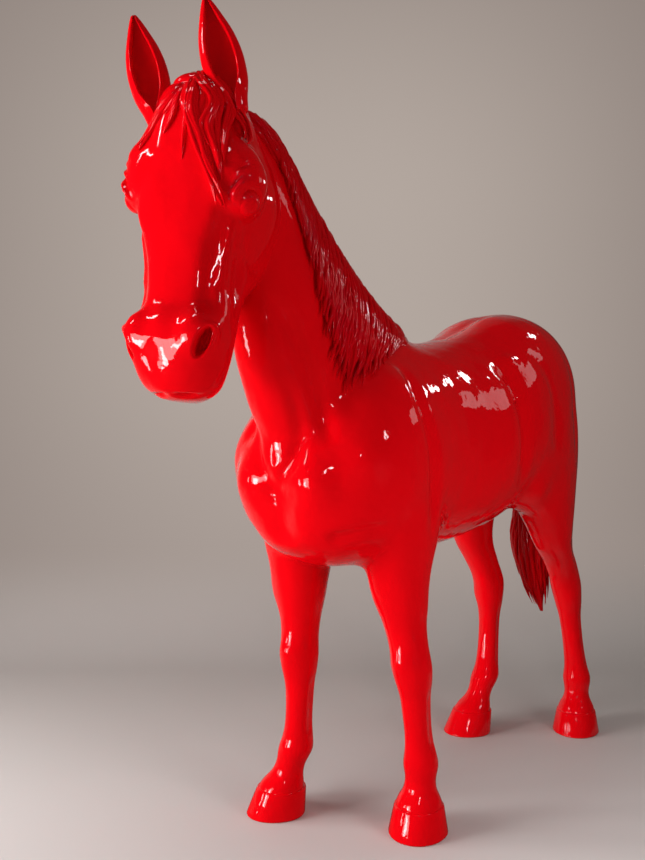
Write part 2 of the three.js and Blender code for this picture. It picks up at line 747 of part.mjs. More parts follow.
// Tail: a dock over a steel pin, with strands that fall in one hank
const tailLine = [
  point(0, 712, dockHeight),
  point(0, 762, dockHeight - 30),
  point(0, 800, dockHeight - 0.15 * tailLength),
  point(-14, 812, dockHeight - 0.36 * tailLength),
  point(-35, 806, dockHeight - 0.56 * tailLength),
  point(-53, 798, dockHeight - 0.76 * tailLength),
  point(-36, 788, dockHeight - 0.94 * tailLength),
  point(0, 786, dockHeight - 1.1 * tailLength),
];
const tailWidths = [0.45, 0.6, 0.76, 1, 1.24, 1.38, 0.9, 0.2];
const tailCore = loft(tailLine.map((centre, i) => {
  const half = tailWidths[i] * tailSpread;
  const tilt = i < 2 ? 0.9 : 0.08;
  const upward = point(0, Math.cos(tilt), Math.sin(tilt));
  const oval = { right: half, left: half, up: half * 0.62, down: half * 0.55 };
  return ovalRing(centre, point(1, 0, 0), upward, oval, 8);
}));
const tailStrands = Array.from({ length: tailLocks }, (_, k) => {
  const angle = (2 * Math.PI * k) / tailLocks;
  const tipDrop = 24 * Math.cos(3 * angle);
  const outward = point(Math.cos(angle), Math.sin(angle), 0);
  const knots = tailLine.slice(1).map((centre, i) => {
    const half = tailWidths[i + 1] * tailSpread;
    const drift = 0.16 * Math.sin(1.4 * i + 2 * k);
    return centre.clone().add(point(
      half * 0.78 * Math.cos(angle + drift),
      half * 0.5 * Math.sin(angle + drift),
      i > 4 ? -tipDrop : 0,
    ));
  });
  return hairLock(knots, outward, tailSpread * 0.5, tailSpread * 0.34, 4);
});
const tailPinLine = along([0, 640, 1330], [0, 790, 1330]);
const tail = union([tailCore, ...tailStrands])
  .subtract(upperLoft(trunkSections, trunkSides, bondGap))
  .subtract(around(tailPinLine, tailPinDiameter));
frame.add(mesh("tail_pin", bar(tailPinLine, tailPinDiameter), steel));

// Mane: locks that fall over the horse's left side of the neck
function neckSide(y, z) {
  const cross = (section) => {
    const run = [section.top[0] - section.low[0], section.top[1] - section.low[1]];
    return run[0] * (z - section.low[1]) - run[1] * (y - section.low[0]);
  };
  const after = neckSections.findIndex((section) => cross(section) < 0);
  const k = THREE.MathUtils.clamp(after === -1 ? neckSections.length - 1 : after, 1, neckSections.length - 1);
  const [before, behind] = [neckSections[k - 1], neckSections[k]];
  const share = THREE.MathUtils.clamp(cross(before) / (cross(before) - cross(behind)), 0, 1);
  const mix = (a, b) => a + (b - a) * share;
  const top = [mix(before.top[0], behind.top[0]), mix(before.top[1], behind.top[1])];
  const low = [mix(before.low[0], behind.low[0]), mix(before.low[1], behind.low[1])];
  const height = Math.hypot(top[0] - low[0], top[1] - low[1]);
  const level = Math.hypot(y - low[0], z - low[1]) / height - before.waist;
  const reach = level > 0 ? 1 - before.waist : before.waist;
  const power = level > 0 ? before.upPower : before.downPower;
  const rise = Math.min(Math.abs(level) / reach, 0.985);
  return mix(before.half, behind.half) * (1 - rise ** power) ** (1 / power);
}

const crestCurve = new THREE.CatmullRomCurve3(
  neckSections.slice(1, -1).map(({ x = 0, top }) => point(x, top[0] - 3, top[1] - 8)),
);
const maneHem = new THREE.CatmullRomCurve3(along(
  [0, -400, 1470],
  [0, -480, 1420],
  [0, -620, 1340],
  [0, -725, 1300],
  [0, -765, 1450],
  [0, -815, 1650],
  [0, -885, 1840],
));
const crestRidge = loft(Array.from({ length: 9 }, (_, i) => {
  const t = 0.05 + (0.93 * i) / 8;
  const size = i === 0 || i === 8 ? 8 : 20;
  const tangent = crestCurve.getTangent(t);
  const upward = new THREE.Vector3().crossVectors(tangent, point(1, 0, 0)).normalize();
  const oval = { right: size, left: size, up: size, down: size };
  return ovalRing(crestCurve.getPoint(t).add(point(3, 0, 0)), point(1, 0, 0), upward, oval, 6);
}));
const maneHair = Array.from({ length: maneLocks }, (_, k) => {
  const share = k / (maneLocks - 1);
  const root = crestCurve.getPoint(0.07 + 0.9 * share);
  const tip = maneHem.getPoint(share);
  const spans = 4;
  const knots = Array.from({ length: spans + 1 }, (__, i) => {
    const t = i / spans;
    const y = THREE.MathUtils.lerp(root.y, tip.y, t ** 1.25) + 9 * Math.sin(3.1 * t * 2 + k * 1.7) * t;
    const z = THREE.MathUtils.lerp(root.z - 8, tip.z - 26 * (k % 2), t);
    return point(neckSide(y, z) * (i === 0 ? 0.35 : 1) + 5, y, z);
  });
  return hairLock(knots, point(1, 0, 0), maneLockWidth, maneRelief, 4);
});
const headInBody = headOutside.transform(toBody);
const headGrownInBody = headGrown.transform(toBody);
const mane = union([crestRidge, ...maneHair])
  .subtract(upperLoft(neckSections, neckSides, bondGap))
  .subtract(upperLoft(trunkSections, trunkSides, bondGap))
  .subtract(headGrownInBody);

// Forelock: a tuft between the ears, parted into locks over the forehead
const forelockPaths = [
  [[6, 34], [26, -20], [52, -80], [66, -140], [62, -205], [72, -262]],
  [[14, 34], [48, -10], [84, -60], [92, -120], [104, -180]],
  [[18, 34], [60, 8], [98, -36], [124, -96], [136, -148]],
  [[-4, 34], [4, -20], [22, -80], [44, -140], [40, -200], [50, -240]],
  [[-22, 34], [-52, -6], [-82, -50], [-104, -96], [-112, -138]],
  [[-12, 34], [-20, -24], [-14, -80], [8, -130], [14, -180]],
];
const forelockTuft = ball(point(-4, 40, 28), point(62, 62, 32), 10, 6);
const forelock = union([
  forelockTuft,
  ...forelockPaths.map((path) => {
    const knots = path.map(([x, z]) => faceAt(x, Math.min(z, 20)).setZ(z));
    return hairLock(knots, point(0, -1, 0), forelockLockWidth, forelockRelief, 4);
  }),
]);

// Ears: open cups whose rims turn in towards the front
const earSections = [
  { share: -0.12, front: 30, back: 32, width: 0.62 },
  { share: 0.02, front: 34, back: 36, width: 0.72 },
  { share: 0.2, front: 38, back: 40, width: 0.94 },
  { share: 0.4, front: 34, back: 40, width: 0.98 },
  { share: 0.6, front: 27, back: 34, width: 0.84 },
  { share: 0.78, front: 18, back: 26, width: 0.54 },
  { share: 0.91, front: 10, back: 16, width: 0.3 },
  { share: 1, front: 3, back: 4, width: 0.07 },
].map(({ share, front, back, width }) => (
  { z: share * earLength, front, back, outer: width * earHalfWidth }
));
const earScoop = levelLoft(
  earSections.slice(1, -1).map(({ z, front, back, outer }) => ({
    z: z + earWall,
    y: -8,
    front: front + 36,
    back: back - earWall + 4,
    outer: Math.max(outer - earWall, 3),
    frontPower: 1.7,
  })),
  8,
  0,
);
const earCup = levelLoft(earSections, 12, 0).subtract(earScoop);
const ear = (side) => earCup
  .rotate(side > 0 ? [0, earLean.left, earTurn.left] : [0, earLean.right, earTurn.right])
  .translate([side > 0 ? earSpread.left : -earSpread.right, 44, -16]);
const earSolids = { left: ear(1), right: ear(-1) };

// Skins, split along the horse's middle
const postBore = (limb) => {
  const line = postLine(limb);
  const mouth = along([line[0].x, line[0].y, -1], [line[0].x, line[0].y, hoofPlateThickness + 2]);
  return around(line, postDiameter, postSides, postSteps).add(around(mouth, postDiameter, postSides, 1));
};
const trunkSkin = belowNeckSeam(bodyOutside)
  .subtract(union(limbs.map(legZone)))
  .subtract(cavity)
  .subtract(union(limbs.map(postBore)))
  .subtract(around(tailPinLine, tailPinDiameter));
const neckSkin = aboveNeckSeam(trunkOutside.add(neckOutside))
  .subtract(cavity)
  .subtract(headGrownInBody);
const headSkin = headOutside
  .subtract(headInside)
  .subtract(neckInside(0).transform(toHead))
  .subtract(eyeBall(1, bondGap))
  .subtract(eyeBall(-1, bondGap))
  .subtract(nostrilHole(1))
  .subtract(nostrilHole(-1));

// Assembly
const horse = new THREE.Group();
horse.add(frame);
for (const [name, solid] of Object.entries(formers)) {
  horse.add(mesh(name, solid, plywood));
}
horse.add(mesh("trunk_shell_left", leftOf(trunkSkin), lacquer));
horse.add(mesh("trunk_shell_right", rightOf(trunkSkin), lacquer));
horse.add(mesh("neck_shell_left", leftOf(neckSkin), lacquer));
horse.add(mesh("neck_shell_right", rightOf(neckSkin), lacquer));
horse.add(mesh("tail", tail, lacquer));
horse.add(mesh("mane", mane, lacquer));

limbs.forEach((limb, i) => {
  const joint = (limb.fore ? foreJointHeight : hindJointHeight) - bondGap / 2;
  const leg = limbOutsides[i]
    .trimByPlane([0, 0, -1], -joint)
    .trimByPlane([0, 0, 1], hoofHeight + bondGap / 2)
    .subtract(postBore(limb));
  horse.add(mesh(limb.name, leg, lacquer));
  const foot = postLine(limb)[0];
  const hoof = levelLoft(
    hoofSections.map((section) => (
      { ...section, x: foot.x, y: foot.y, turn: limb.side * limb.toe }
    )),
    12,
    0,
  )
    .subtract(around([foot.clone().setZ(-1), foot], hoofPlateDiameter, 16))
    .subtract(postBore(limb));
  horse.add(mesh(`hoof_${limb.place}`, hoof, lacquer));
});

const head = new THREE.Group();
head.add(mesh("head_shell_left", leftOf(headSkin), lacquer));
head.add(mesh("head_shell_right", rightOf(headSkin), lacquer));
head.add(mesh("eye_left", eyeBall(1, 0), lacquer));
head.add(mesh("eye_right", eyeBall(-1, 0), lacquer));
head.add(mesh("ear_left", earSolids.left.subtract(headGrown), lacquer));
head.add(mesh("ear_right", earSolids.right.subtract(headGrown), lacquer));
head.add(mesh(
  "forelock",
  forelock.subtract(headGrown).subtract(earSolids.left).subtract(earSolids.right),
  lacquer,
));
head.position.copy(headPlace.position);
head.rotation.copy(headPlace.rotation);
horse.add(head);

horse.updateMatrixWorld(true);
const extent = new THREE.Box3().setFromObject(horse, true);
horse.position.set(
  -(extent.min.x + extent.max.x) / 2,
  -(extent.min.y + extent.max.y) / 2,
  0,
);

export default horse;
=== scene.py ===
import json
import math
import bpy
import bmesh
import numpy as np
from mathutils import Euler, Matrix, Vector


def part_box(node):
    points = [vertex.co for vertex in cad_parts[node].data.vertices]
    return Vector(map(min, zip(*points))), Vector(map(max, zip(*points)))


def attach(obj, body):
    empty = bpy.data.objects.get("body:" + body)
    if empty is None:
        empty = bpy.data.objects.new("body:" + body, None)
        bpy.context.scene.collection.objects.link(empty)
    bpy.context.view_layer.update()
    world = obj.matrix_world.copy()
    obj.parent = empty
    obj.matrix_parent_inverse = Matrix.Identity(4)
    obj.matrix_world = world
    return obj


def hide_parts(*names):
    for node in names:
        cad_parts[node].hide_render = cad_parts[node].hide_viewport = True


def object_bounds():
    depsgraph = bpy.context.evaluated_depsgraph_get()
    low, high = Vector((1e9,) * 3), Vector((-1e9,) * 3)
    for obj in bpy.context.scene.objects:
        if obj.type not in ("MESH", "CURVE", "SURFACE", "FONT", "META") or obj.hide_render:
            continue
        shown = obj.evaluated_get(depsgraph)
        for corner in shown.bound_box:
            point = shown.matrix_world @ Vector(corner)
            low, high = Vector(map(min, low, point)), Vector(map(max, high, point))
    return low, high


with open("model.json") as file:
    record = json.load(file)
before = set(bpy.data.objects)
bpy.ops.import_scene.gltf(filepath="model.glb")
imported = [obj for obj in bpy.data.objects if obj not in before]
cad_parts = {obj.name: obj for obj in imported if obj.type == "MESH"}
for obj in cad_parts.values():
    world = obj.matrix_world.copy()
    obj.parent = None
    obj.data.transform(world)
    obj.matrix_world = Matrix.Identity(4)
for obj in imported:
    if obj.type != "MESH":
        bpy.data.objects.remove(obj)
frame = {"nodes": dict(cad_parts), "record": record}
cadLow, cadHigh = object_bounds()
print("stage: frame loaded")

# The spine tube lies on the horse's own middle, so it gives the shift from the body's axes to the row's
spineLow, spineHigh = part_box("spine_tube")
bodyShift = Vector(((spineLow.x + spineHigh.x) / 2, (spineLow.y + spineHigh.y) / 2, 0))

# Camera: level, at chest height, ahead of the horse's left shoulder
cameraView = {"place": (1.59, -2.51, 1.19), "yaw": 40.2, "lens": 35.58, "sensor": 36, "clip": 60}

camera = bpy.data.objects.new("camera", bpy.data.cameras.new("camera"))
bpy.context.scene.collection.objects.link(camera)
camera.location = Vector(cameraView["place"]) + bodyShift
camera.rotation_euler = (math.radians(90), 0, math.radians(cameraView["yaw"]))
camera.data.lens = cameraView["lens"]
camera.data.sensor_width = cameraView["sensor"]
camera.data.clip_end = cameraView["clip"]
bpy.context.scene.camera = camera


# Modelling helpers

def deselectAll():
    if bpy.context.object and bpy.context.object.mode != "OBJECT":
        bpy.ops.object.mode_set(mode="OBJECT")
    bpy.ops.object.select_all(action="DESELECT")


def pick(piece):
    deselectAll()
    piece.select_set(True)
    bpy.context.view_layer.objects.active = piece


def smoothRows(rows, steps):
    table = np.array(rows, float)
    ends = np.vstack([2 * table[0] - table[1], table, 2 * table[-1] - table[-2]])
    out = []
    for i in range(1, len(ends) - 2):
        p0, p1, p2, p3 = ends[i - 1:i + 3]
        for t in np.arange(steps) / steps:
            out.append(0.5 * (2 * p1 + (p2 - p0) * t + (2 * p0 - 5 * p1 + 4 * p2 - p3) * t ** 2
                              + (3 * p1 - p0 - 3 * p2 + p3) * t ** 3))
    out.append(table[-1])
    return np.array(out)


def ovalRing(centre, rightward, upward, reach, sides):
    right, left, up, down, upPower, downPower = reach
    turn = 2 * math.pi * np.arange(sides) / sides
    c, s = np.cos(turn), np.sin(turn)
    power = np.where(s > 0, upPower, downPower)
    across = np.where(c > 0, right, -left) * np.abs(c) ** (2 / power)
    rise = np.where(s > 0, up, -down) * np.abs(s) ** (2 / power)
    return np.array(centre) + np.outer(across, rightward) + np.outer(rise, upward)


def skinThrough(name, rings):  # one circle, extruded from ring to ring
    deselectAll()
    bpy.ops.mesh.primitive_circle_add(vertices=len(rings[0]), radius=0.1, fill_type="NGON")
    piece = bpy.context.object
    piece.name = name
    bpy.ops.object.mode_set(mode="EDIT")
    bpy.ops.mesh.select_mode(type="FACE")
    bpy.ops.mesh.select_all(action="SELECT")
    shape = bmesh.from_edit_mesh(piece.data)
    spot = shape.verts.layers.int.new("spot")
    for i, vert in enumerate(shape.verts):
        vert[spot] = i
    for k, ring in enumerate(rings):
        if k:
            bpy.ops.mesh.extrude_region()
            shape = bmesh.from_edit_mesh(piece.data)
            spot = shape.verts.layers.int["spot"]
        for vert in shape.verts:
            if vert.select:
                vert.co = ring[vert[spot]]
    bmesh.update_edit_mesh(piece.data)
    bpy.ops.mesh.select_all(action="SELECT")
    bpy.ops.mesh.normals_make_consistent(inside=False)
    bpy.ops.object.mode_set(mode="OBJECT")
    return piece


def ballAt(name, centre, radii):
    deselectAll()
    bpy.ops.mesh.primitive_uv_sphere_add(segments=40, ring_count=24, radius=1)
    piece = bpy.context.object
    piece.name = name
    piece.data.transform(Matrix.Translation(centre) @ Matrix.Diagonal((*radii, 1)))
    return piece


def copyOf(source, name):
    piece = source.copy()
    piece.data = source.data.copy()
    piece.name = name
    bpy.context.scene.collection.objects.link(piece)
    return piece


def joined(name, pieces):
    deselectAll()
    for piece in pieces:
        piece.select_set(True)
    bpy.context.view_layer.objects.active = pieces[0]
    bpy.ops.object.join()
    pieces[0].name = name
    return pieces[0]


def applied(piece, kind, **settings):
    pick(piece)
    modifier = piece.modifiers.new(kind.lower(), kind)
    for key, value in settings.items():
        setattr(modifier, key, value)
    bpy.ops.object.modifier_apply(modifier=modifier.name)
    return piece


def fused(piece, voxel):  # overlapping shapes become one skin
    return applied(piece, "REMESH", mode="VOXEL", voxel_size=voxel)


def dataOf(rows, key, width=1, kind=np.float32):
    values = np.zeros(len(rows) * width, kind)
    rows.foreach_get(key, values)
    return values.reshape(-1, width) if width > 1 else values


def points(piece):
    return dataOf(piece.data.vertices, "co", 3).astype(float)


def setPoints(piece, co):
    piece.data.vertices.foreach_set("co", co.astype(np.float32).ravel())
    piece.data.update()


def normalsOf(piece):
    return dataOf(piece.data.vertex_normals, "vector", 3).astype(float)


def neighbourMean(values, edges, counts):
    total = np.stack([
        np.bincount(edges[:, 0], values[edges[:, 1], k], len(counts))
        + np.bincount(edges[:, 1], values[edges[:, 0], k], len(counts))
        for k in range(values.shape[1])
    ], 1)
    return total / counts[:, None]


def relaxed(piece, rounds, weight=None, pull=0.6):  # each point moves towards the middle of its neighbours
    co = points(piece)
    edges = dataOf(piece.data.edges, "vertices", 2, np.int32)
    counts = np.maximum(np.bincount(edges.ravel(), minlength=len(co)).astype(float), 1)
    share = np.ones(len(co)) if weight is None else weight(co)
    for _ in range(rounds):
        co += pull * share[:, None] * (neighbourMean(co, edges, counts) - co)
    setPoints(piece, co)


def softStep(value, low, high):
    t = np.clip((value - low) / (high - low), 0, 1)
    return t * t * (3 - 2 * t)


# Sculpting: a swell or a groove moves the skin along its own normals

def swell(clay, centre, radii, height, mirror=True):
    for side in ((1, -1) if mirror else (1,)):
        away = clay["co"] * (side, 1, 1) - np.array(centre)
        reach = ((away / np.array(radii)) ** 2).sum(1)
        clay["push"] += height * np.exp(-1.5 * reach)


def alongLine(co, line):
    best = np.full(len(co), 1e9)
    share = np.zeros(len(co))
    for k, (a, b) in enumerate(zip(line[:-1], line[1:])):
        run = b - a
        t = np.clip(((co - a) @ run) / max(run @ run, 1e-12), 0, 1)
        away = np.linalg.norm(co - a - t[:, None] * run, axis=1)
        nearer = away < best
        best = np.where(nearer, away, best)
        share = np.where(nearer, (k + t) / (len(line) - 1), share)
    return best, share


def crease(clay, line, width, depth, mirror=True, fade=True):
    line = smoothRows(line, 5)
    for side in ((1, -1) if mirror else (1,)):
        away, share = alongLine(clay["co"] * (side, 1, 1), line)
        ends = np.clip(np.minimum(share, 1 - share) * 5, 0, 1) if fade else 1
        clay["push"] -= depth * ends * np.exp(-(away / width) ** 2)


def takeClay(piece):
    co = points(piece)
    return {"piece": piece, "co": co, "normals": normalsOf(piece), "push": np.zeros(len(co))}


def pressed(clay):  # the pushes so far are carried out, and the clay is ready for the next
    co = clay["co"] + clay["normals"] * clay["push"][:, None]
    setPoints(clay["piece"], co)
    return takeClay(clay["piece"])


# Body: stations of the trunk from the breast to the buttocks, in metres on the horse's own axes
trunkShape = {
    "withers": 1.47, "croup": 1.632, "breast": 0.79,
    "chestHalf": 0.296, "barrelHalf": 0.282, "hipHalf": 0.271,
    "sides": 48, "steps": 4,
}


def trunkRings():
    w, c, b = trunkShape["withers"], trunkShape["croup"], trunkShape["breast"]
    chest, barrel, hip = trunkShape["chestHalf"], trunkShape["barrelHalf"], trunkShape["hipHalf"]
    stations = [  # y, top, low, half width, waist, upper power, lower power
        (-0.824, 1.09, 0.96, 0.14 * chest, 0.5, 1.95, 2.1),
        (-0.808, 1.165, 0.905, 0.42 * chest, 0.5, 1.95, 2.1),
        (-0.78, 1.24, 0.862, 0.66 * chest, 0.56, 1.95, 2.1),
        (-0.73, 1.31, 0.825, 0.85 * chest, 0.56, 1.95, 2.1),
        (-0.65, 1.375, b + 0.006, 0.97 * chest, 0.55, 1.95, 2.1),
        (-0.53, 1.43, b, 0.99 * chest, 0.53, 1.95, 2.1),
        (-0.4, w - 0.022, b + 0.004, 0.95 * chest, 0.47, 1.95, 2.1),
        (-0.25, w, b + 0.01, 0.94 * barrel, 0.47, 1.95, 2.1),
        (-0.08, w + 0.021, b + 0.02, 0.98 * barrel, 0.47, 1.95, 2.1),
        (0.09, w + 0.068, b + 0.044, barrel, 0.47, 1.95, 2.1),
        (0.24, c - 0.028, b + 0.084, 0.99 * barrel, 0.47, 2.15, 2.1),
        (0.39, c, b + 0.15, hip, 0.47, 2.15, 2.1),
        (0.52, c - 0.008, b + 0.22, 0.95 * hip, 0.47, 2.15, 2.1),
        (0.62, c - 0.048, b + 0.27, 0.82 * hip, 0.47, 2.15, 2.1),
        (0.69, c - 0.115, b + 0.35, 0.6 * hip, 0.47, 2.15, 2.1),
        (0.728, c - 0.205, b + 0.45, 0.28 * hip, 0.47, 2.15, 2.1),
    ]
    rings = []
    for y, top, low, half, waist, upPower, downPower in smoothRows(stations, trunkShape["steps"]):
        height = top - low
        reach = (half, half, height * (1 - waist), height * waist, upPower, downPower)
        rings.append(ovalRing((0, y, low + height * waist), (1, 0, 0), (0, 0, 1), reach, trunkShape["sides"]))
    return rings


# Neck: stations from inside the shoulders to inside the head
neckShape = {"half": 0.106, "crest": 2.003, "sides": 40, "steps": 4}


def neckRings():
    w, n, c = trunkShape["withers"], neckShape["half"], neckShape["crest"]
    stations = [  # x, top y and z, low y and z, half width
        (0, -0.09, w - 0.11, -0.6, 0.98, 1.6 * n),
        (0, -0.19, w - 0.005, -0.765, 1.09, 1.58 * n),
        (0, -0.32, w + 0.052, -0.872, 1.21, 1.44 * n),
        (0, -0.45, w + 0.13, -0.919, 1.33, 1.25 * n),
        (0, -0.58, w + 0.232, -0.95, 1.44, 1.12 * n),
        (0, -0.695, c - 0.196, -0.961, 1.54, n),
        (0.004, -0.805, c - 0.088, -0.975, 1.625, 0.95 * n),
        (0.012, -0.925, c, -1.005, 1.69, 0.9 * n),
        (0.02, -1.06, c - 0.015, -1.075, 1.74, 0.78 * n),
    ]
    rings = []
    for x, topY, topZ, lowY, lowZ, half in smoothRows(stations, neckShape["steps"]):
        high, low = np.array((x, topY, topZ)), np.array((x, lowY, lowZ))
        height = np.linalg.norm(high - low)
        upward = (high - low) / height
        reach = (half, half, height * 0.56, height * 0.44, 1.75, 2.15)
        rings.append(ovalRing(low + upward * height * 0.44, (1, 0, 0), upward, reach, neckShape["sides"]))
    return rings


# Legs: each limb's line through its joints, and the sections that both limbs of a pair share
legShape = {
    "knee": 0.5, "hock": 0.57, "foreJoint": 0.748, "hindJoint": 0.77,
    "hoof": 0.084, "coronet": 0.068, "sides": 32, "steps": 4,
}
limbs = {
    "foreleg_left": {
        "side": 1, "fore": True, "toe": 0.32,
        "line": [(0.178, -0.398, 0), (0.182, -0.4, 0.084), (0.19, -0.404, 0.205), (0.188, -0.42, 0.33),
                 (0.184, -0.44, 0.5), (0.159, -0.45, 0.64), (0.149, -0.464, 0.748),
                 (0.166, -0.48, 0.95), (0.165, -0.44, 1.25)],
    },
    "foreleg_right": {
        "side": -1, "fore": True, "toe": 0.36,
        "line": [(-0.232, -0.566, 0), (-0.216, -0.566, 0.084), (-0.178, -0.55, 0.205),
                 (-0.166, -0.546, 0.33), (-0.162, -0.545, 0.5), (-0.166, -0.54, 0.64),
                 (-0.172, -0.53, 0.748), (-0.172, -0.5, 0.95), (-0.165, -0.45, 1.25)],
    },
    "hindleg_left": {
        "side": 1, "fore": False, "toe": 0.3,
        "line": [(0.179, 0.717, 0), (0.178, 0.722, 0.084), (0.173, 0.739, 0.202), (0.163, 0.727, 0.34),
                 (0.139, 0.716, 0.55), (0.14, 0.66, 0.66), (0.15, 0.556, 0.77),
                 (0.148, 0.475, 1), (0.13, 0.48, 1.4)],
    },
    "hindleg_right": {
        "side": -1, "fore": False, "toe": 0.36,
        "line": [(-0.145, 0.442, 0), (-0.138, 0.462, 0.084), (-0.12, 0.52, 0.202), (-0.119, 0.55, 0.34),
                 (-0.127, 0.572, 0.55), (-0.147, 0.546, 0.66), (-0.163, 0.504, 0.77),
                 (-0.152, 0.47, 1), (-0.13, 0.48, 1.4)],
    },
}


def lineAt(line, z):
    table = smoothRows(line, 6)
    return np.array([np.interp(z, table[:, 2], table[:, k]) for k in (0, 1)])


def legRings(limb):
    k, h, g = legShape["knee"], legShape["hock"], legShape["hoof"]
    r, fore, hind = legShape["coronet"], legShape["foreJoint"], legShape["hindJoint"]
    lower = [
        (g + 0.024, r - 0.002, r - 0.01, r - 0.005, r - 0.005),
        (g, r + 0.008, r - 0.001, r + 0.003, r + 0.003),
        (g - 0.035, r + 0.009, r - 0.001, r + 0.004, r + 0.004),
    ]
    foreStations = [  # z, front, back, outer, inner
        (1.25, 0.11, 0.1, 0.084, 0.084), (1.1, 0.165, 0.135, 0.112, 0.095),
        (0.95, 0.16, 0.15, 0.114, 0.092), (0.86, 0.128, 0.138, 0.108, 0.092),
        (fore + 0.032, 0.104, 0.114, 0.095, 0.086), (0.5 * (fore + k) + 0.06, 0.08, 0.092, 0.079, 0.076),
        (k + 0.118, 0.064, 0.074, 0.062, 0.063), (k + 0.052, 0.061, 0.061, 0.058, 0.058),
        (k, 0.066, 0.058, 0.061, 0.061), (k - 0.052, 0.057, 0.056, 0.053, 0.053),
        (k - 0.1, 0.045, 0.05, 0.045, 0.045), (k - 0.205, 0.041, 0.048, 0.041, 0.041),
        (0.24, 0.046, 0.054, 0.047, 0.047), (0.205, 0.052, 0.06, 0.053, 0.053),
        (0.16, 0.046, 0.048, 0.046, 0.046), (0.128, 0.052, 0.051, 0.051, 0.051), *lower,
    ]
    hindStations = [
        (1.4, 0.19, 0.15, 0.11, 0.08), (1.25, 0.25, 0.215, 0.124, 0.092),
        (1.1, 0.262, 0.232, 0.118, 0.092), (0.98, 0.218, 0.202, 0.108, 0.088),
        (0.88, 0.158, 0.162, 0.096, 0.08), (hind + 0.03, 0.112, 0.124, 0.08, 0.07),
        (h + 0.13, 0.086, 0.1, 0.064, 0.058), (h + 0.05, 0.072, 0.092, 0.055, 0.052),
        (h, 0.07, 0.088, 0.056, 0.054), (h - 0.075, 0.057, 0.068, 0.049, 0.048),
        (h - 0.13, 0.045, 0.054, 0.042, 0.041), (0.34, 0.04, 0.05, 0.04, 0.04),
        (0.25, 0.043, 0.054, 0.045, 0.045), (0.202, 0.052, 0.062, 0.054, 0.054),
        (0.155, 0.046, 0.05, 0.047, 0.047), (0.126, 0.052, 0.052, 0.052, 0.052), *lower,
    ]
    rings = []
    stations = foreStations if limb["fore"] else hindStations
    for z, front, back, outer, inner in smoothRows(stations, legShape["steps"]):
        x, y = lineAt(limb["line"], z)
        turn = limb["side"] * limb["toe"] * min(max((0.4 - z) / 0.28, 0), 1)
        right, left = (outer, inner) if limb["side"] > 0 else (inner, outer)
        rings.append(ovalRing(
            (x, y, z),
            (math.cos(turn), math.sin(turn), 0),
            (math.sin(turn), -math.cos(turn), 0),
            (right, left, front, back, 2, 2),
            legShape["sides"],
        ))
    return rings


def limbPoint(name, z, across, back):  # a spot beside a limb's own line
    limb = limbs[name]
    x, y = lineAt(limb["line"], z)
    return (x + limb["side"] * across, y + back, z)


# Body: the forms melt into one skin, which is then eased, the legs least
bodyMaking = {"voxel": 0.007, "legsUpTo": (0.66, 0.86), "rounds": 70, "evenRounds": 5, "lastRounds": 3}
bodyBalls = [  # name, centre and radii on the left; the right side has the same
    ("breast_form", (0.104, -0.722, 1.04), (0.104, 0.104, 0.13)),
    ("shoulder_form", (0.16, -0.582, 1.12), (0.116, 0.148, 0.205)),
    ("haunch_form", (0.155, 0.36, 1.18), (0.122, 0.23, 0.3)),
]
print("stage: body forms")
bodyForms = [skinThrough("trunk_form", trunkRings()), skinThrough("neck_form", neckRings())]
bodyForms += [skinThrough(name + "_form", legRings(limb)) for name, limb in limbs.items()]
for side in (1, -1):
    bodyForms += [ballAt(name, (side * x, y, z), radii) for name, (x, y, z), radii in bodyBalls]
bodyForms.append(ballAt("throat_form", (0, -0.802, 1.15), (0.062, 0.045, 0.125)))
body = fused(joined("body", bodyForms), bodyMaking["voxel"])
relaxed(body, bodyMaking["rounds"], lambda co: softStep(co[:, 2], *bodyMaking["legsUpTo"]))
relaxed(body, bodyMaking["evenRounds"])
print("stage: body skin has", len(body.data.vertices), "points")

# Muscles and creases of the left side; the right side mirrors them
bodySwells = [  # centre, radii, height
    ((0.105, -0.8, 1.055), (0.085, 0.07, 0.095), 0.02),
    ((0.228, -0.7, 1.11), (0.06, 0.08, 0.08), 0.012),
    ((0.275, -0.59, 1.01), (0.05, 0.09, 0.15), 0.012),
    ((0.205, -0.56, 1.3), (0.06, 0.08, 0.12), 0.01),
    ((0.25, -0.6, 0.85), (0.05, 0.07, 0.09), 0.01),
    ((0.28, 0, 1.18), (0.06, 0.09, 0.18), 0.012),
    ((0.205, 0.11, 1.42), (0.04, 0.05, 0.042), 0.013),
    ((0.15, 0.33, 1.54), (0.11, 0.15, 0.09), 0.01),
    ((0.265, 0.23, 1.19), (0.06, 0.09, 0.15), 0.014),
    ((0.245, 0.44, 1.18), (0.06, 0.07, 0.2), 0.01),
    ((0.215, 0.3, 0.985), (0.05, 0.06, 0.06), 0.014),
    ((0.06, -0.9, 1.42), (0.05, 0.06, 0.16), 0.008),
]
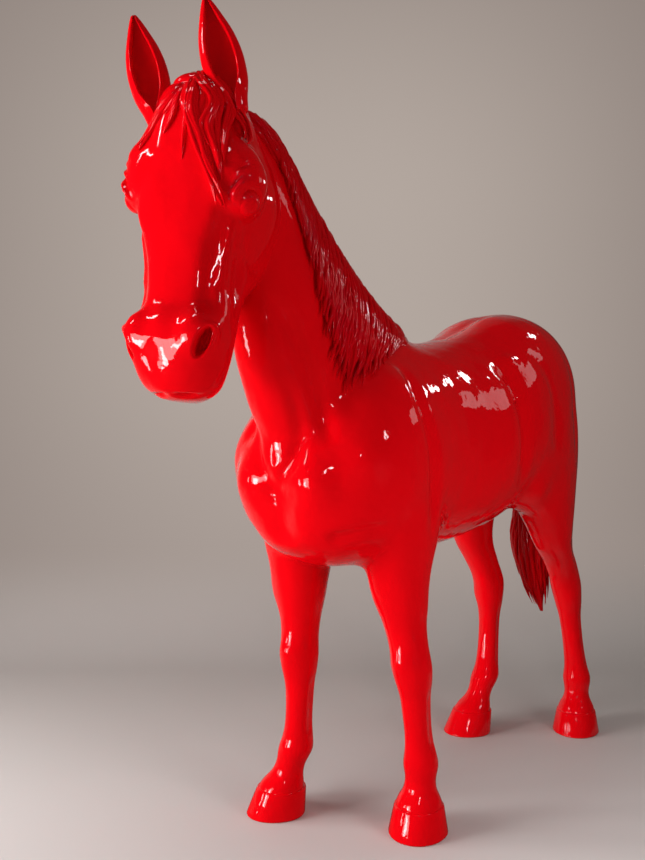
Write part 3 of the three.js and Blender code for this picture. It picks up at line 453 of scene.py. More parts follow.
bodyCreases = [  # line, width, depth
    ([(0.074, -0.92, 1.545), (0.088, -0.888, 1.486), (0.1, -0.854, 1.426), (0.11, -0.818, 1.349),
      (0.12, -0.79, 1.27), (0.142, -0.78, 1.19), (0.155, -0.78, 1.14)], 0.026, 0.017),
    ([(0.12, -0.7, 1.48), (0.14, -0.69, 1.38), (0.165, -0.705, 1.28), (0.195, -0.73, 1.19)], 0.028, 0.007),
    ([(0, -0.84, 1.035), (0.03, -0.835, 1.062), (0.066, -0.825, 1.11), (0.086, -0.825, 1.19),
      (0.09, -0.848, 1.268), (0.08, -0.88, 1.35)], 0.019, 0.01),
    ([(0, -0.845, 1.06), (0, -0.83, 0.97), (0, -0.78, 0.87)], 0.05, 0.009),
    ([(0.13, -0.77, 0.892), (0.173, -0.74, 0.902), (0.21, -0.705, 0.912), (0.255, -0.615, 0.93)], 0.02,
      0.013),
    ([(0.15, -0.47, 1.39), (0.231, -0.49, 1.304), (0.273, -0.49, 1.218), (0.29, -0.474, 1.106),
      (0.286, -0.462, 0.992), (0.272, -0.466, 0.87)], 0.024, 0.019),
    ([(0.195, 0.03, 1.43), (0.24, 0.075, 1.35), (0.262, 0.085, 1.29), (0.28, 0.09, 1.19),
      (0.276, 0.1, 1.1), (0.238, 0.13, 0.985)], 0.03, 0.024),
    ([(0.19, 0.2, 1.48), (0.24, 0.3, 1.38), (0.268, 0.335, 1.23), (0.262, 0.35, 1.08)], 0.026, 0.009),
    ([(0.165, 0.5, 1.52), (0.225, 0.52, 1.38), (0.24, 0.545, 1.22), (0.215, 0.56, 1.02)], 0.026, 0.008),
    ([(0, -0.06, 1.5), (0, 0.15, 1.58), (0, 0.38, 1.64)], 0.03, 0.007),
    ([(0.255, -0.3, 1.36), (0.268, -0.1, 1.38), (0.24, 0.06, 1.43)], 0.04, 0.006),
]
tendonGroove = {"fore": (0.44, 0.4, 0.34, 0.28, 0.235), "hind": (0.5, 0.43, 0.35, 0.28, 0.235)}
limbGrooves = {  # heights, outward and back from the limb's line, width, depth
    pair: [(heights, outward, 0.012, 0.012, 0.007) for outward in (0.04, -0.04)]
    for pair, heights in tendonGroove.items()
}
limbGrooves["hind"].append(((0.8, 0.74, 0.68, 0.62), 0.052, 0.045, 0.018, 0.009))
pasternSwell = (0.196, 0, 0.056, (0.034, 0.03, 0.026), 0.007)
limbSwells = {  # height, outward and back from the limb's line, radii, height of the swell
    "fore": [
        (0.515, 0, -0.062, (0.042, 0.03, 0.035), 0.007), (0.475, 0, 0.058, (0.026, 0.03, 0.035), 0.008),
        (0.7, 0.06, -0.02, (0.04, 0.06, 0.08), 0.008), pasternSwell,
    ],
    "hind": [
        (0.61, 0, 0.095, (0.026, 0.04, 0.04), 0.014), (0.53, 0.04, -0.03, (0.03, 0.04, 0.04), 0.006),
        pasternSwell,
    ],
}
clay = takeClay(body)
for centre, radii, height in bodySwells:
    swell(clay, centre, radii, height)
for line, width, depth in bodyCreases:
    crease(clay, line, width, depth)
for name, limb in limbs.items():
    pair = "fore" if limb["fore"] else "hind"
    for heights, across, back, width, depth in limbGrooves[pair]:
        crease(clay, [limbPoint(name, z, across, back) for z in heights], width, depth, mirror=False)
    for z, across, back, radii, height in limbSwells[pair]:
        swell(clay, limbPoint(name, z, across, back), radii, height, mirror=False)
pressed(clay)
relaxed(body, bodyMaking["lastRounds"])

# Head: level stations from the poll down, in the head's own axes, with the face towards -Y
headShape = {
    "length": 0.74, "brow": 0.187, "cheek": 0.146, "muzzle": 0.116,
    "poll": (0.025, -1.165, 2), "turn": 14, "nod": 4, "tilt": 1.6,
    "eyeDrop": {1: 0.268, -1: 0.234}, "eyeInset": 0.026, "eyeBack": 0.046, "eyeRadii": (0.029, 0.036, 0.034),
    "sides": 56, "steps": 5, "voxel": 0.0034, "rounds": 160, "lastRounds": 2,
    "eyeLevel": -0.27, "eyeBand": 0.07, "eyeEasing": 0.35,
}
headPlace = Matrix.Translation(headShape["poll"]) @ (
    Matrix.Rotation(math.radians(headShape["turn"]), 4, "Z")
    @ Matrix.Rotation(math.radians(-headShape["nod"]), 4, "X")
    @ Matrix.Rotation(math.radians(headShape["tilt"]), 4, "Y")
)


def headRings():
    c, m, base = headShape["cheek"], headShape["muzzle"], -headShape["length"]
    stations = [  # z, y, front, back, half width, front power, back power
        (0.044, 0.042, 0.026, 0.026, 0.046, 2, 2),
        (0.03, 0.046, 0.058, 0.062, 0.09, 2, 2),
        (-0.014, 0.062, 0.088, 0.112, 0.118, 2, 2),
        (-0.085, 0.088, 0.117, 0.16, c - 0.016, 2.2, 2.4),
        (-0.155, 0.108, 0.139, 0.188, c, 2.6, 3),
        (-0.235, 0.122, 0.153, 0.206, c + 0.005, 3.3, 3),
        (-0.31, 0.124, 0.151, 0.214, c - 0.007, 3.6, 3),
        (-0.37, 0.11, 0.132, 0.208, c - 0.022, 3.6, 3),
        (-0.425, 0.092, 0.109, 0.19, c - 0.032, 3.4, 2.6),
        (-0.49, 0.076, 0.091, 0.124, c - 0.025, 3, 2.3),
        (base + 0.19, 0.068, 0.094, 0.106, m + 0.014, 2.6, 2),
        (base + 0.13, 0.056, 0.096, 0.102, m + 0.014, 2.5, 2),
        (base + 0.072, 0.054, 0.086, 0.096, m + 0.003, 2.3, 2),
        (base + 0.026, 0.06, 0.07, 0.084, m - 0.018, 2, 2),
        (base, 0.068, 0.042, 0.04, 0.052, 2, 2),
    ]
    rings = []
    for z, y, front, back, half, frontPower, backPower in smoothRows(stations, headShape["steps"]):
        reach = (half, half, front, back, frontPower, backPower)
        rings.append(ovalRing((0, y, z), (1, 0, 0), (0, -1, 0), reach, headShape["sides"]))
    return rings


def eyeAt(side):
    drop = headShape["eyeDrop"][side]
    return Vector((side * (headShape["brow"] - headShape["eyeInset"]), headShape["eyeBack"], -drop))


def headEasing(co):  # the lids keep their form while the rest is eased
    fromLids = np.abs(co[:, 2] - headShape["eyeLevel"])
    return np.where(fromLids < headShape["eyeBand"], headShape["eyeEasing"], 1.0)


lipLevel = -headShape["length"]
headForms = [
    skinThrough("skull_form", headRings()),
    ballAt("chin_form", (0, 0.112, lipLevel + 0.046), (0.062, 0.052, 0.05)),
    ballAt("muzzle_form", (0, 0.012, lipLevel + 0.15), (0.082, 0.066, 0.086)),
]
for side in (1, -1):
    eye = eyeAt(side)
    headForms.append(ballAt("brow_form", (side * 0.105, 0.058, eye.z + 0.056), (0.092, 0.084, 0.106)))
    headForms.append(ballAt("lid_form", eye + Vector((-0.002 * side, 0.002, 0.009)), (0.031, 0.052, 0.042)))
    headForms.append(ballAt("wing_form", (side * 0.076, 0.008, lipLevel + 0.154), (0.058, 0.064, 0.066)))
head = fused(joined("head", headForms), headShape["voxel"])
relaxed(head, headShape["rounds"], headEasing)
print("stage: head skin has", len(head.data.vertices), "points")

# Head details in the head's own axes, for the left side; the ones round the right eye are lifted with it
headSwells = [  # centre, radii, height
    ((0.112, -0.02, -0.33), (0.03, 0.03, 0.09), 0.009),
    ((0.096, -0.03, -0.45), (0.026, 0.03, 0.09), 0.008),
    ((0.146, 0.165, -0.255), (0.03, 0.085, 0.105), 0.011),
    ((0.06, -0.02, -0.08), (0.06, 0.05, 0.07), 0.006),
]
headCreases = [  # line, width, depth
    ([(0.132, 0.004, -0.285), (0.115, -0.002, -0.35), (0.103, -0.004, -0.42), (0.1, -0.004, -0.49),
      (0.106, -0.004, -0.545)], 0.026, 0.013),
    ([(0.142, 0.034, -0.31), (0.124, 0.036, -0.36), (0.109, 0.038, -0.43), (0.099, 0.036, -0.48)], 0.012,
      -0.009),
    ([(0.14, 0.085, -0.37), (0.118, 0.1, -0.43), (0.104, 0.085, -0.51), (0.112, 0.07, -0.58)], 0.022, 0.009),
    ([(0.15, 0.08, -0.3), (0.14, 0.105, -0.362), (0.118, 0.165, -0.398), (0.09, 0.225, -0.385)], 0.014,
      0.007),
    ([(0, 0, -0.736), (0.035, 0.022, -0.732), (0.066, 0.046, -0.714), (0.098, 0.058, -0.682),
      (0.113, 0.072, -0.642)], 0.008, 0.017),
]
eyeCreases = [
    ([(0.149, 0.004, -0.292), (0.158, -0.004, -0.262), (0.17, 0.01, -0.236), (0.178, 0.04, -0.226),
      (0.172, 0.076, -0.24)], 0.0075, -0.012),
    ([(0.152, -0.006, -0.262), (0.166, 0.002, -0.224), (0.176, 0.04, -0.212), (0.17, 0.08, -0.226)], 0.005,
      0.01),
    ([(0.154, -0.008, -0.24), (0.168, 0.004, -0.211), (0.178, 0.04, -0.2), (0.172, 0.082, -0.214)], 0.006,
      -0.009),
    ([(0.156, -0.006, -0.222), (0.17, 0.01, -0.198), (0.178, 0.044, -0.188), (0.172, 0.08, -0.2)], 0.005,
      0.008),
    ([(0.158, -0.002, -0.208), (0.17, 0.016, -0.185), (0.177, 0.048, -0.176), (0.17, 0.082, -0.188)], 0.006,
      -0.006),
    ([(0.149, 0.006, -0.298), (0.16, 0.02, -0.306), (0.17, 0.046, -0.309), (0.17, 0.076, -0.294)], 0.007,
      -0.009),
    ([(0.148, 0.004, -0.312), (0.16, 0.024, -0.322), (0.168, 0.05, -0.324), (0.166, 0.08, -0.308)], 0.006,
      0.008),
    ([(0.116, 0.03, -0.08), (0.142, 0.01, -0.14), (0.152, -0.006, -0.19)], 0.022, -0.006),
]


def dent(clay, centre, radii, turn, way, depth, side):  # a pit with a firm edge, pressed along one way
    spin = np.array(Euler([math.radians(a) for a in turn]).to_matrix())
    away = clay["co"] * (side, 1, 1) - np.array(centre)
    reach = np.sqrt(((away @ spin / np.array(radii)) ** 2).sum(1))
    press = depth * (1 - softStep(reach, 0.45, 1.0))
    clay["co"] += press[:, None] * np.array(way) * (side, 1, 1)


clay = takeClay(head)
for centre, radii, height in headSwells:
    swell(clay, centre, radii, height)
for line, width, depth in headCreases:
    crease(clay, line, width, depth)
for side in (1, -1):
    lift = eyeAt(side).z - eyeAt(1).z
    for line, width, depth in eyeCreases:
        crease(clay, [(side * x, y, z + lift) for x, y, z in line], width, depth, mirror=False)
    swell(clay, (side * 0.15, 0.09, -0.165 + lift), (0.03, 0.04, 0.04), -0.012, mirror=False)
    swell(clay, (side * 0.132, -0.012, -0.572), (0.016, 0.024, 0.02), 0.006, mirror=False)
clay = pressed(clay)
nostrilRim = [(0.094, -0.044, -0.65), (0.101, -0.056, -0.612), (0.114, -0.046, -0.58),
              (0.128, -0.018, -0.568), (0.136, 0.004, -0.586), (0.134, 0.002, -0.616),
              (0.118, -0.014, -0.648), (0.094, -0.034, -0.664)]
crease(clay, nostrilRim, 0.009, -0.008, fade=False)
clay = pressed(clay)
for side in (1, -1):
    eye = eyeAt(side)
    dent(clay, (0.113, -0.032, -0.614), (0.019, 0.038, 0.048), (0, 22, 34), (-0.45, 0.85, 0.2), 0.046, side)
    dent(clay, (0.176, eye.y - 0.006, eye.z), (0.03, 0.036, 0.036), (12, 0, 0), (-1, 0.15, 0), 0.018, side)
    dent(clay, (0.152, 0.01, eye.z - 0.03), (0.012, 0.01, 0.008), (0, 0, 0), (-0.8, 0.6, 0), 0.006, side)
setPoints(head, clay["co"])
relaxed(head, headShape["lastRounds"])

# Eyes: a ball with a swollen front, under the lids
eyes = {}
for side, name in ((1, "eye_left"), (-1, "eye_right")):
    eyes[name] = ballAt(name + "_ball", eyeAt(side), headShape["eyeRadii"])
    clay = takeClay(eyes[name])
    swell(clay, eyeAt(side) + Vector((side * 0.025, -0.008, 0)), (0.018, 0.016, 0.015), 0.0025, mirror=False)
    pressed(clay)

# Ears: cups from root to tip, open towards the front
earShape = {
    "length": 0.264, "wall": 0.013, "spread": {1: 0.107, -1: 0.117},
    "lean": {1: -18.5, -1: -17.5}, "turn": {1: 27, -1: 22}, "arc": 36, "floor": 0.02,
}


def earRings():
    stations = [  # share, front, back, half width, half opening in degrees
        (-0.14, 0.028, 0.03, 0.028, 4),
        (0, 0.034, 0.036, 0.036, 12),
        (0.08, 0.038, 0.039, 0.043, 27),
        (0.2, 0.039, 0.04, 0.05, 40),
        (0.4, 0.036, 0.038, 0.052, 46),
        (0.6, 0.029, 0.033, 0.0445, 45),
        (0.78, 0.02, 0.025, 0.0295, 38),
        (0.91, 0.012, 0.015, 0.0165, 24),
        (0.985, 0.006, 0.006, 0.007, 5),
    ]
    rings = []
    for share, front, back, half, opening in smoothRows(stations, 5):
        turn = np.radians(np.linspace(opening, 360 - opening, earShape["arc"]))
        wall = min(earShape["wall"], 0.4 * half)
        outer = [(half * math.sin(a), -(front if math.cos(a) > 0 else back) * math.cos(a)) for a in turn]
        deep = back - wall - min(earShape["floor"], 0.5 * back)
        inner = [
            ((half - wall) * math.sin(a), -(front - wall if math.cos(a) > 0 else deep) * math.cos(a))
            for a in turn
        ]
        lips = []
        for a, b in ((outer[-1], inner[-1]), (inner[0], outer[0])):
            middle = np.add(a, b) / 2
            lips.append((middle[0], middle[1] - 0.65 * wall))
        flat = outer + [lips[0]] + inner[::-1] + [lips[1]]
        rings.append(np.array([(x, y, share * earShape["length"]) for x, y in flat]))
    return rings


ears = {}
for side, name in ((1, "ear_left"), (-1, "ear_right")):
    ear = skinThrough(name + "_cup", earRings())
    place = (
        Matrix.Translation((side * earShape["spread"][side], 0.044, -0.016))
        @ Matrix.Rotation(math.radians(earShape["turn"][side]), 4, "Z")
        @ Matrix.Rotation(math.radians(earShape["lean"][side]), 4, "Y")
    )
    ear.data.transform(place)
    ears[name] = applied(ear, "SUBSURF", levels=1, render_levels=1)
print("stage: head, eyes and ears shaped")


# Hair: one straight tapered lock is modelled, and its copies follow their own paths
lockShape = {
    "sides": 8,
    "shares": (0, 0.015, *np.linspace(0.04, 0.96, 24), 0.985, 1),
    "girthAt": (0, 0.015, 0.05, 0.12, 0.3, 0.5, 0.7, 0.85, 0.94, 1),
    "girth": (0.15, 0.5, 0.72, 0.86, 1, 1, 0.9, 0.68, 0.4, 0.06),
}


def plainLockRings():
    rings = []
    for share in lockShape["shares"]:
        girth = np.interp(share, lockShape["girthAt"], lockShape["girth"])
        reach = (girth, girth, girth, girth, 2, 2)
        rings.append(ovalRing((0, 0, share), (1, 0, 0), (0, 1, 0), reach, lockShape["sides"]))
    return rings


plainLock = skinThrough("plain_lock", plainLockRings())
lockPoints = points(plainLock)


def lockAlong(name, knots, outward, width, depth):
    path = smoothRows(knots, 6)
    reach = np.linspace(0, 1, len(path))
    ways = np.gradient(path, axis=0)
    ways /= np.linalg.norm(ways, axis=1)[:, None]
    outs = np.array([outward] * len(path) if np.ndim(outward) == 1 else smoothRows(outward, 6), float)
    across = np.cross(ways, outs)
    across /= np.linalg.norm(across, axis=1)[:, None]
    outs = np.cross(across, ways)
    along = [np.stack([np.interp(lockPoints[:, 2], reach, table[:, k]) for k in range(3)], 1)
             for table in (path, across, outs)]
    lock = copyOf(plainLock, name)
    setPoints(lock, along[0] + along[1] * lockPoints[:, :1] * width + along[2] * lockPoints[:, 1:2] * depth)
    return lock


def onSkin(piece, spots, way, lift):  # spots dropped on a skin from the side that they face
    knots, outs, last = [], [], None
    for spot in spots:
        found, place, normal, _ = piece.ray_cast(Vector(spot) - Vector(way), Vector(way), distance=2)
        if found:
            knots.append(place + normal * lift)
            outs.append(normal)
        elif knots:  # past the skin's edge a lock hangs on from its last spot
            knots.append(knots[-1] + Vector(spot) - Vector(last))
            outs.append(outs[-1])
        else:
            knots.append(Vector(spot))
            outs.append(-Vector(way))
        last = spot
    return [tuple(knot) for knot in knots], [tuple(out) for out in outs]


# Mane: rows of locks from the crest down to a hem, laid on the left side of the neck
random = np.random.default_rng(7)
maneShape = {
    "crest": [(-0.235, 1.492), (-0.33, 1.536), (-0.45, 1.61), (-0.58, 1.71), (-0.695, 1.815), (-0.805, 1.92),
              (-0.925, 2.008), (-1.01, 2.028)],
    "hem": [(-0.4, 1.452), (-0.47, 1.415), (-0.62, 1.345), (-0.715, 1.3), (-0.77, 1.45), (-0.815, 1.64),
            (-0.88, 1.8), (-0.93, 1.9)],
    "spread": 0.01, "wave": (42, 70), "knots": 20, "rootDips": (0.012, 0.006, 0.002),
    "thinFrom": 0.12, "thinRise": 7, "sweep": 1.3, "aside": 0.004,
    "rows": [  # how many, where they start and end along the way down, half width and depth, lift, sway
        {"count": 34, "start": 0, "end": (0.84, 0.93), "half": (0.021, 0.009), "lift": 0.002, "sway": 0.003},
        {"count": 56, "start": 0, "end": (0.88, 1.05), "half": (0.009, 0.009), "lift": 0.01, "sway": 0.0045},
        {"count": 88, "start": 0.55, "end": (0.72, 1.07), "half": (0.0066, 0.0085), "lift": 0.013,
         "sway": 0.0045},
    ],
}


def spotOn(line, share):
    return [np.interp(share * (len(line) - 1), np.arange(len(line)), line[:, i]) for i in (0, 1)]


def maneLocks():
    crest, hem = smoothRows(maneShape["crest"], 20), smoothRows(maneShape["hem"], 20)
    locks = []
    for row in maneShape["rows"]:
        for share in np.linspace(0.01, 0.99, row["count"]):
            share = float(np.clip(share + random.uniform(-1, 1) * maneShape["spread"], 0, 1))
            root, tip = spotOn(crest, share), spotOn(hem, share)
            start, end = random.uniform(0, row["start"]), random.uniform(*row["end"])
            phase, wave = random.uniform(0, 6.3), random.uniform(*maneShape["wave"]) * math.dist(root, tip)
            sway = row["sway"] * random.uniform(0.6, 1.4)
            spots = []
            for t in np.linspace(start, end, maneShape["knots"]):
                drift = sway * math.sin(wave * t + phase) * min(1, 2.5 * t)
                y = root[0] + (tip[0] - root[0]) * t ** maneShape["sweep"] + drift
                spots.append((maneShape["aside"], y, root[1] + (tip[1] - root[1]) * t))
            full = min(1, maneShape["thinFrom"] + maneShape["thinRise"] * share)  # thin at the withers
            knots, outs = onSkin(body, spots, (-1, 0, 0), row["lift"] * full)
            if row["start"]:  # a short lock comes up from under the others
                for i, dip in enumerate(maneShape["rootDips"]):
                    knots[i] = tuple(np.array(knots[i]) - dip * np.array(outs[i]))
            else:
                crestLift = 0.004 * full + row["lift"] * 0.4 * full
                knots[0] = (maneShape["aside"], root[0], root[1] - 0.01 + crestLift)
                outs[0] = (0.35, 0, 0.9)
            width = row["half"][0] * random.uniform(0.75, 1.2)
            locks.append(lockAlong("mane_lock", knots, outs, width, row["half"][1] * (0.4 + 0.6 * full)))
    return locks


mane = joined("mane_hair", maneLocks())
print("stage: mane has", len(mane.data.vertices), "points")

# Forelock: wavy locks from the tuft between the ears, in the head's own x and z
forelockShape = {
    "main": [  # path, half width, half depth
        ([(0.01, 0.042), (0.034, 0), (0.046, -0.05), (0.06, -0.1), (0.082, -0.15), (0.104, -0.205),
          (0.12, -0.262)], 0.022, 0.006),
        ([(0.02, 0.042), (0.062, 0.006), (0.078, -0.045), (0.074, -0.095), (0.09, -0.14), (0.112, -0.196)],
         0.024, 0.007),
        ([(0, 0.042), (-0.006, 0.01), (-0.02, -0.03), (-0.044, -0.06)], 0.022, 0.006),
        ([(0.014, 0.042), (0.024, 0.008), (0.022, -0.03), (0.024, -0.066)], 0.022, 0.006),
        ([(0.024, 0.042), (0.08, 0.012), (0.106, -0.03), (0.114, -0.08)], 0.024, 0.007),
        ([(0.004, 0.04), (-0.003, 0.017), (-0.015, -0.019), (-0.048, -0.044), (-0.074, -0.072),
          (-0.104, -0.108), (-0.118, -0.136)], 0.014, 0.009),
        ([(0.008, 0.04), (0.004, 0), (-0.008, -0.045), (-0.016, -0.078), (-0.034, -0.11)], 0.01, 0.007),
        ([(0.012, 0.042), (0.024, -0.01), (0.027, -0.06), (0.025, -0.088), (0.025, -0.136), (0.024, -0.178)],
         0.008, 0.006),
        ([(0.016, 0.042), (0.036, -0.004), (0.03, -0.065), (0.055, -0.11), (0.074, -0.155), (0.093, -0.199),
          (0.12, -0.254), (0.124, -0.29)], 0.015, 0.014),
        ([(0.018, 0.042), (0.042, -0.01), (0.048, -0.06), (0.064, -0.11), (0.086, -0.16), (0.11, -0.215),
          (0.122, -0.266)], 0.012, 0.012),
        ([(0.022, 0.042), (0.052, 0.006), (0.089, -0.039), (0.073, -0.087), (0.088, -0.129), (0.117, -0.178),
          (0.127, -0.222)], 0.014, 0.013),
        ([(0.024, 0.04), (0.066, 0.01), (0.096, -0.03), (0.092, -0.075), (0.1, -0.12), (0.12, -0.17),
          (0.132, -0.238)], 0.012, 0.011),
        ([(0.028, 0.04), (0.07, 0.02), (0.108, -0.032), (0.108, -0.063), (0.11, -0.105), (0.124, -0.148),
          (0.134, -0.194)], 0.012, 0.011),
        ([(0.03, 0.04), (0.085, 0.012), (0.108, -0.025), (0.123, -0.053), (0.14, -0.085), (0.158, -0.136)],
         0.014, 0.01),
    ],
    "fine": 4, "fineSize": 0.45, "top": 0.026, "easings": 3,
}


def forelockLocks():
    locks = []
    for route, width, depth in forelockShape["main"]:
        path = [tuple(point) for point in smoothRows(route, 3)]
        for extra in range(1 + forelockShape["fine"]):
            aside, size, lift, reach = 0, 1, 0.25 * depth, len(path)
            if extra:
                aside, size, lift = random.uniform(-0.9, 0.9) * width, forelockShape["fineSize"], 0.9 * depth
                reach -= int(random.integers(0, 5))
            spots = [(x + aside * (0.7 + 0.5 * math.sin(0.6 * i + extra)), 0.02, min(z, forelockShape["top"]))
                     for i, (x, z) in enumerate(path[:reach])]
            knots, outs = onSkin(head, spots, (0, 1, 0), lift)
            for i in range(reach):
                if path[i][1] > 0.02:  # over the poll the lock lies on the tuft
                    knots[i] = (knots[i][0], 0.012 + 0.007 * i, path[i][1] + lift)
                    outs[i] = (0, -0.6, 0.8)
            for _ in range(forelockShape["easings"]):  # eases the bends that the skin gives
                eased = [tuple(0.25 * np.array(a) + 0.5 * np.array(b) + 0.25 * np.array(c))
                         for a, b, c in zip(knots, knots[1:], knots[2:])]
                knots = [knots[0], *eased, knots[-1]]
            locks.append(lockAlong("forelock_lock", knots, outs, width * size, depth * size))
    return locks


tuft = ballAt("tuft", (0.004, 0.04, 0.026), (0.062, 0.056, 0.03))
forelock = joined("forelock_hair", [tuft, *forelockLocks()])

# Tail: a dock that widens into a hank of locks
tailShape = {
    "line": [(0, 0.712, 1.425), (0, 0.762, 1.395), (0, 0.8, 1.29), (-0.014, 0.812, 1.1),
             (-0.035, 0.806, 0.92), (-0.053, 0.798, 0.74), (-0.036, 0.788, 0.58), (0, 0.786, 0.436)],
    "half": (0.028, 0.038, 0.048, 0.063, 0.078, 0.084, 0.06, 0.022), "flatness": 0.6,
    "coreAt": (8, 16, 31, 35), "core": (1, 0.96, 0.92, 0.3), "coreSides": 20, "dockRings": 6, "locks": 46,
}


def tailCore(line, half):
    rings = []
    girth = half * np.interp(np.arange(len(half)), tailShape["coreAt"], tailShape["core"])
    for i, (centre, h) in enumerate(zip(line, girth)):
        upward = (0, 0.5, 0.86) if i < tailShape["dockRings"] else (0, -1, 0.05)
        reach = (h, h, tailShape["flatness"] * h, 0.55 * h, 2, 2)
        rings.append(ovalRing(centre, (1, 0, 0), upward, reach, tailShape["coreSides"]))
    return skinThrough("tail_core", rings)


def tailLocks():
    line = smoothRows(tailShape["line"], 5)
    half = smoothRows(np.array(tailShape["half"])[:, None], 5)[:, 0]
    locks = [tailCore(line, half)]
    for k in range(tailShape["locks"]):
        angle = 2 * math.pi * k / tailShape["locks"] + random.uniform(-0.1, 0.1)
        out = (math.cos(angle), 0.62 * math.sin(angle), 0)
        first = int(random.integers(2, 5))
        last = len(line) - int(random.integers(0, 7))
        phase = random.uniform(0, 6.3)
        knots = []
        for i in range(first, last, 2):
            sway = 0.14 * math.sin(0.6 * i + phase)
            reach = half[i] * (0.97 + 0.07 * math.sin(0.7 * i + 2 * phase) + 0.06 * (i > last - 4))
            knots.append((line[i][0] + reach * math.cos(angle + sway),
                          line[i][1] + tailShape["flatness"] * reach * math.sin(angle + sway), line[i][2]))
        locks.append(lockAlong("tail_lock", knots, out, random.uniform(0.011, 0.016), 0.01))
    return locks


tail = joined("tail_hair", tailLocks())
bpy.data.objects.remove(plainLock)
print("stage: hair laid")

# Hooves: a wall that leans out to the toe, with a ledge under the coronet
hoofShape = {"base": 0.089, "top": 0.072, "height": 0.084, "ledge": 0.0015, "sides": 48}


def hoofRings(limb):
    base, top, height = hoofShape["base"], hoofShape["top"], hoofShape["height"]
    rows = [  # share of the height, how far the wall is drawn in, toe and heel beyond the round
        (0.0, 0.006, 0.016, -0.008), (0.012, 0.0025, 0.016, -0.008), (0.04, 0.0005, 0.0155, -0.008),
        (0.08, 0.0, 0.015, -0.008), (0.5, 0.0, 0.011, -0.004), (0.93, 0.0, 0.0065, 0.0),
        (0.97, 0.0005, 0.006, 0.0), (0.992, 0.0015, 0.006, 0.0), (1.0, 0.0032, 0.006, 0.0),
    ]
    foot, crown = np.array(limb["line"][0]), np.array(limb["line"][1])
    turn = limb["side"] * limb["toe"]
    rings = []
    for share, drawn, toe, heel in rows:
        radius = base + (top + hoofShape["ledge"] - base) * share - drawn
        centre = foot + (crown - foot) * share
        rings.append(ovalRing(
            (centre[0], centre[1], height * share),
            (math.cos(turn), math.sin(turn), 0),
            (math.sin(turn), -math.cos(turn), 0),
            (radius, radius, radius + toe, radius + heel, 2, 2),
            hoofShape["sides"],
        ))
    return rings


hooves = {}
for name, limb in limbs.items():
    hoofName = name.replace("foreleg", "hoof_fore").replace("hindleg", "hoof_hind")
    hooves[hoofName] = skinThrough(hoofName + "_wall", hoofRings(limb))

# Everything moves from the horse's own axes to the row's
for piece in [head, forelock, *eyes.values(), *ears.values()]:
    piece.data.transform(headPlace)
for piece in [body, head, forelock, mane, tail, *eyes.values(), *ears.values(), *hooves.values()]:
    piece.data.transform(Matrix.Translation(bodyShift))
    pick(piece)
    bpy.ops.object.shade_smooth()

# Skins are cut from the whole shape where the castings are bonded, and keep its shading across the joints
skinShape = {"wall": 0.009, "seamBack": (-0.205, 0.038), "seamFront": (-0.9, -0.275), "hindFrom": 0.1}


def rememberNormals(piece):
    kept = piece.data.attributes.new("wholeNormal", "FLOAT_VECTOR", "POINT")
    kept.data.foreach_set("vector", normalsOf(piece).astype(np.float32).ravel())


def cutAway(piece, place, way, fill=False, chosen=None):
    pick(piece)
    bpy.ops.object.mode_set(mode="EDIT")
    bpy.ops.mesh.select_mode(type="FACE")
    bpy.ops.mesh.select_all(action="SELECT" if chosen is None else "DESELECT")
    if chosen:
        shape = bmesh.from_edit_mesh(piece.data)
        for face in shape.faces:
            face.select = chosen(face.calc_center_median())
        bmesh.update_edit_mesh(piece.data)
    bpy.ops.mesh.bisect(plane_co=place, plane_no=way, use_fill=fill, clear_outer=True)
    bpy.ops.object.mode_set(mode="OBJECT")


def keepWhere(piece, test):
    keep = test(points(piece))
    shape = bmesh.new()
    shape.from_mesh(piece.data)
    bmesh.ops.delete(shape, geom=[vert for vert in shape.verts if not keep[vert.index]], context="VERTS")
    shape.to_mesh(piece.data)
    shape.free()


def showWholeNormals(piece):
    data = piece.data
    kept = dataOf(data.attributes["wholeNormal"].data, "vector", 3)
    kept /= np.maximum(np.linalg.norm(kept, axis=1), 1e-6)[:, None]
    sizes = dataOf(data.polygons, "loop_total", kind=np.int32)
    flat = np.repeat(dataOf(data.polygons, "normal", 3), sizes, axis=0)
    shown = kept[dataOf(data.loops, "vertex_index", kind=np.int32)]
    facing = (flat * shown).sum(1)
    shown = np.where(facing[:, None] < -0.2, -shown, shown)  # the inside of a skin
    shown = np.where(np.abs(facing)[:, None] < 0.35, flat, shown)  # its cut edge
    data.normals_split_custom_set(shown.tolist())
    data.attributes.remove(data.attributes["wholeNormal"])


def seamSpot(y, fromWithers):
    return Vector((0, y, trunkShape["withers"] + fromWithers)) + bodyShift


seamBack, seamFront = seamSpot(*skinShape["seamBack"]), seamSpot(*skinShape["seamFront"])
seamWay = (seamFront - seamBack).cross(Vector((1, 0, 0))).normalized()  # towards the neck
hindFrom = bodyShift.y + skinShape["hindFrom"]
headAcross = headPlace.to_3x3() @ Vector((1, 0, 0))
headMiddle = headPlace.translation + bodyShift
skins = {}
rememberNormals(body)
rememberNormals(head)
for side, sideName in ((1, "left"), (-1, "right")):
    sideWay = Vector((-side, 0, 0))
    trunk = copyOf(body, "trunk_skin_" + sideName)
    cutAway(trunk, bodyShift, sideWay)
    cutAway(trunk, seamBack, seamWay)
    cutAway(trunk, (0, 0, legShape["foreJoint"]), (0, 0, -1))
    cutAway(trunk, (0, 0, legShape["hindJoint"]), (0, 0, -1), chosen=lambda spot: spot.y > hindFrom)
    neck = copyOf(body, "neck_skin_" + sideName)
    cutAway(neck, bodyShift, sideWay)
    cutAway(neck, seamBack, -seamWay)
    face = copyOf(head, "head_skin_" + sideName)
    cutAway(face, headMiddle, -side * headAcross)
    for node, piece in (("trunk_shell_", trunk), ("neck_shell_", neck), ("head_shell_", face)):
        skins[node + sideName] = piece
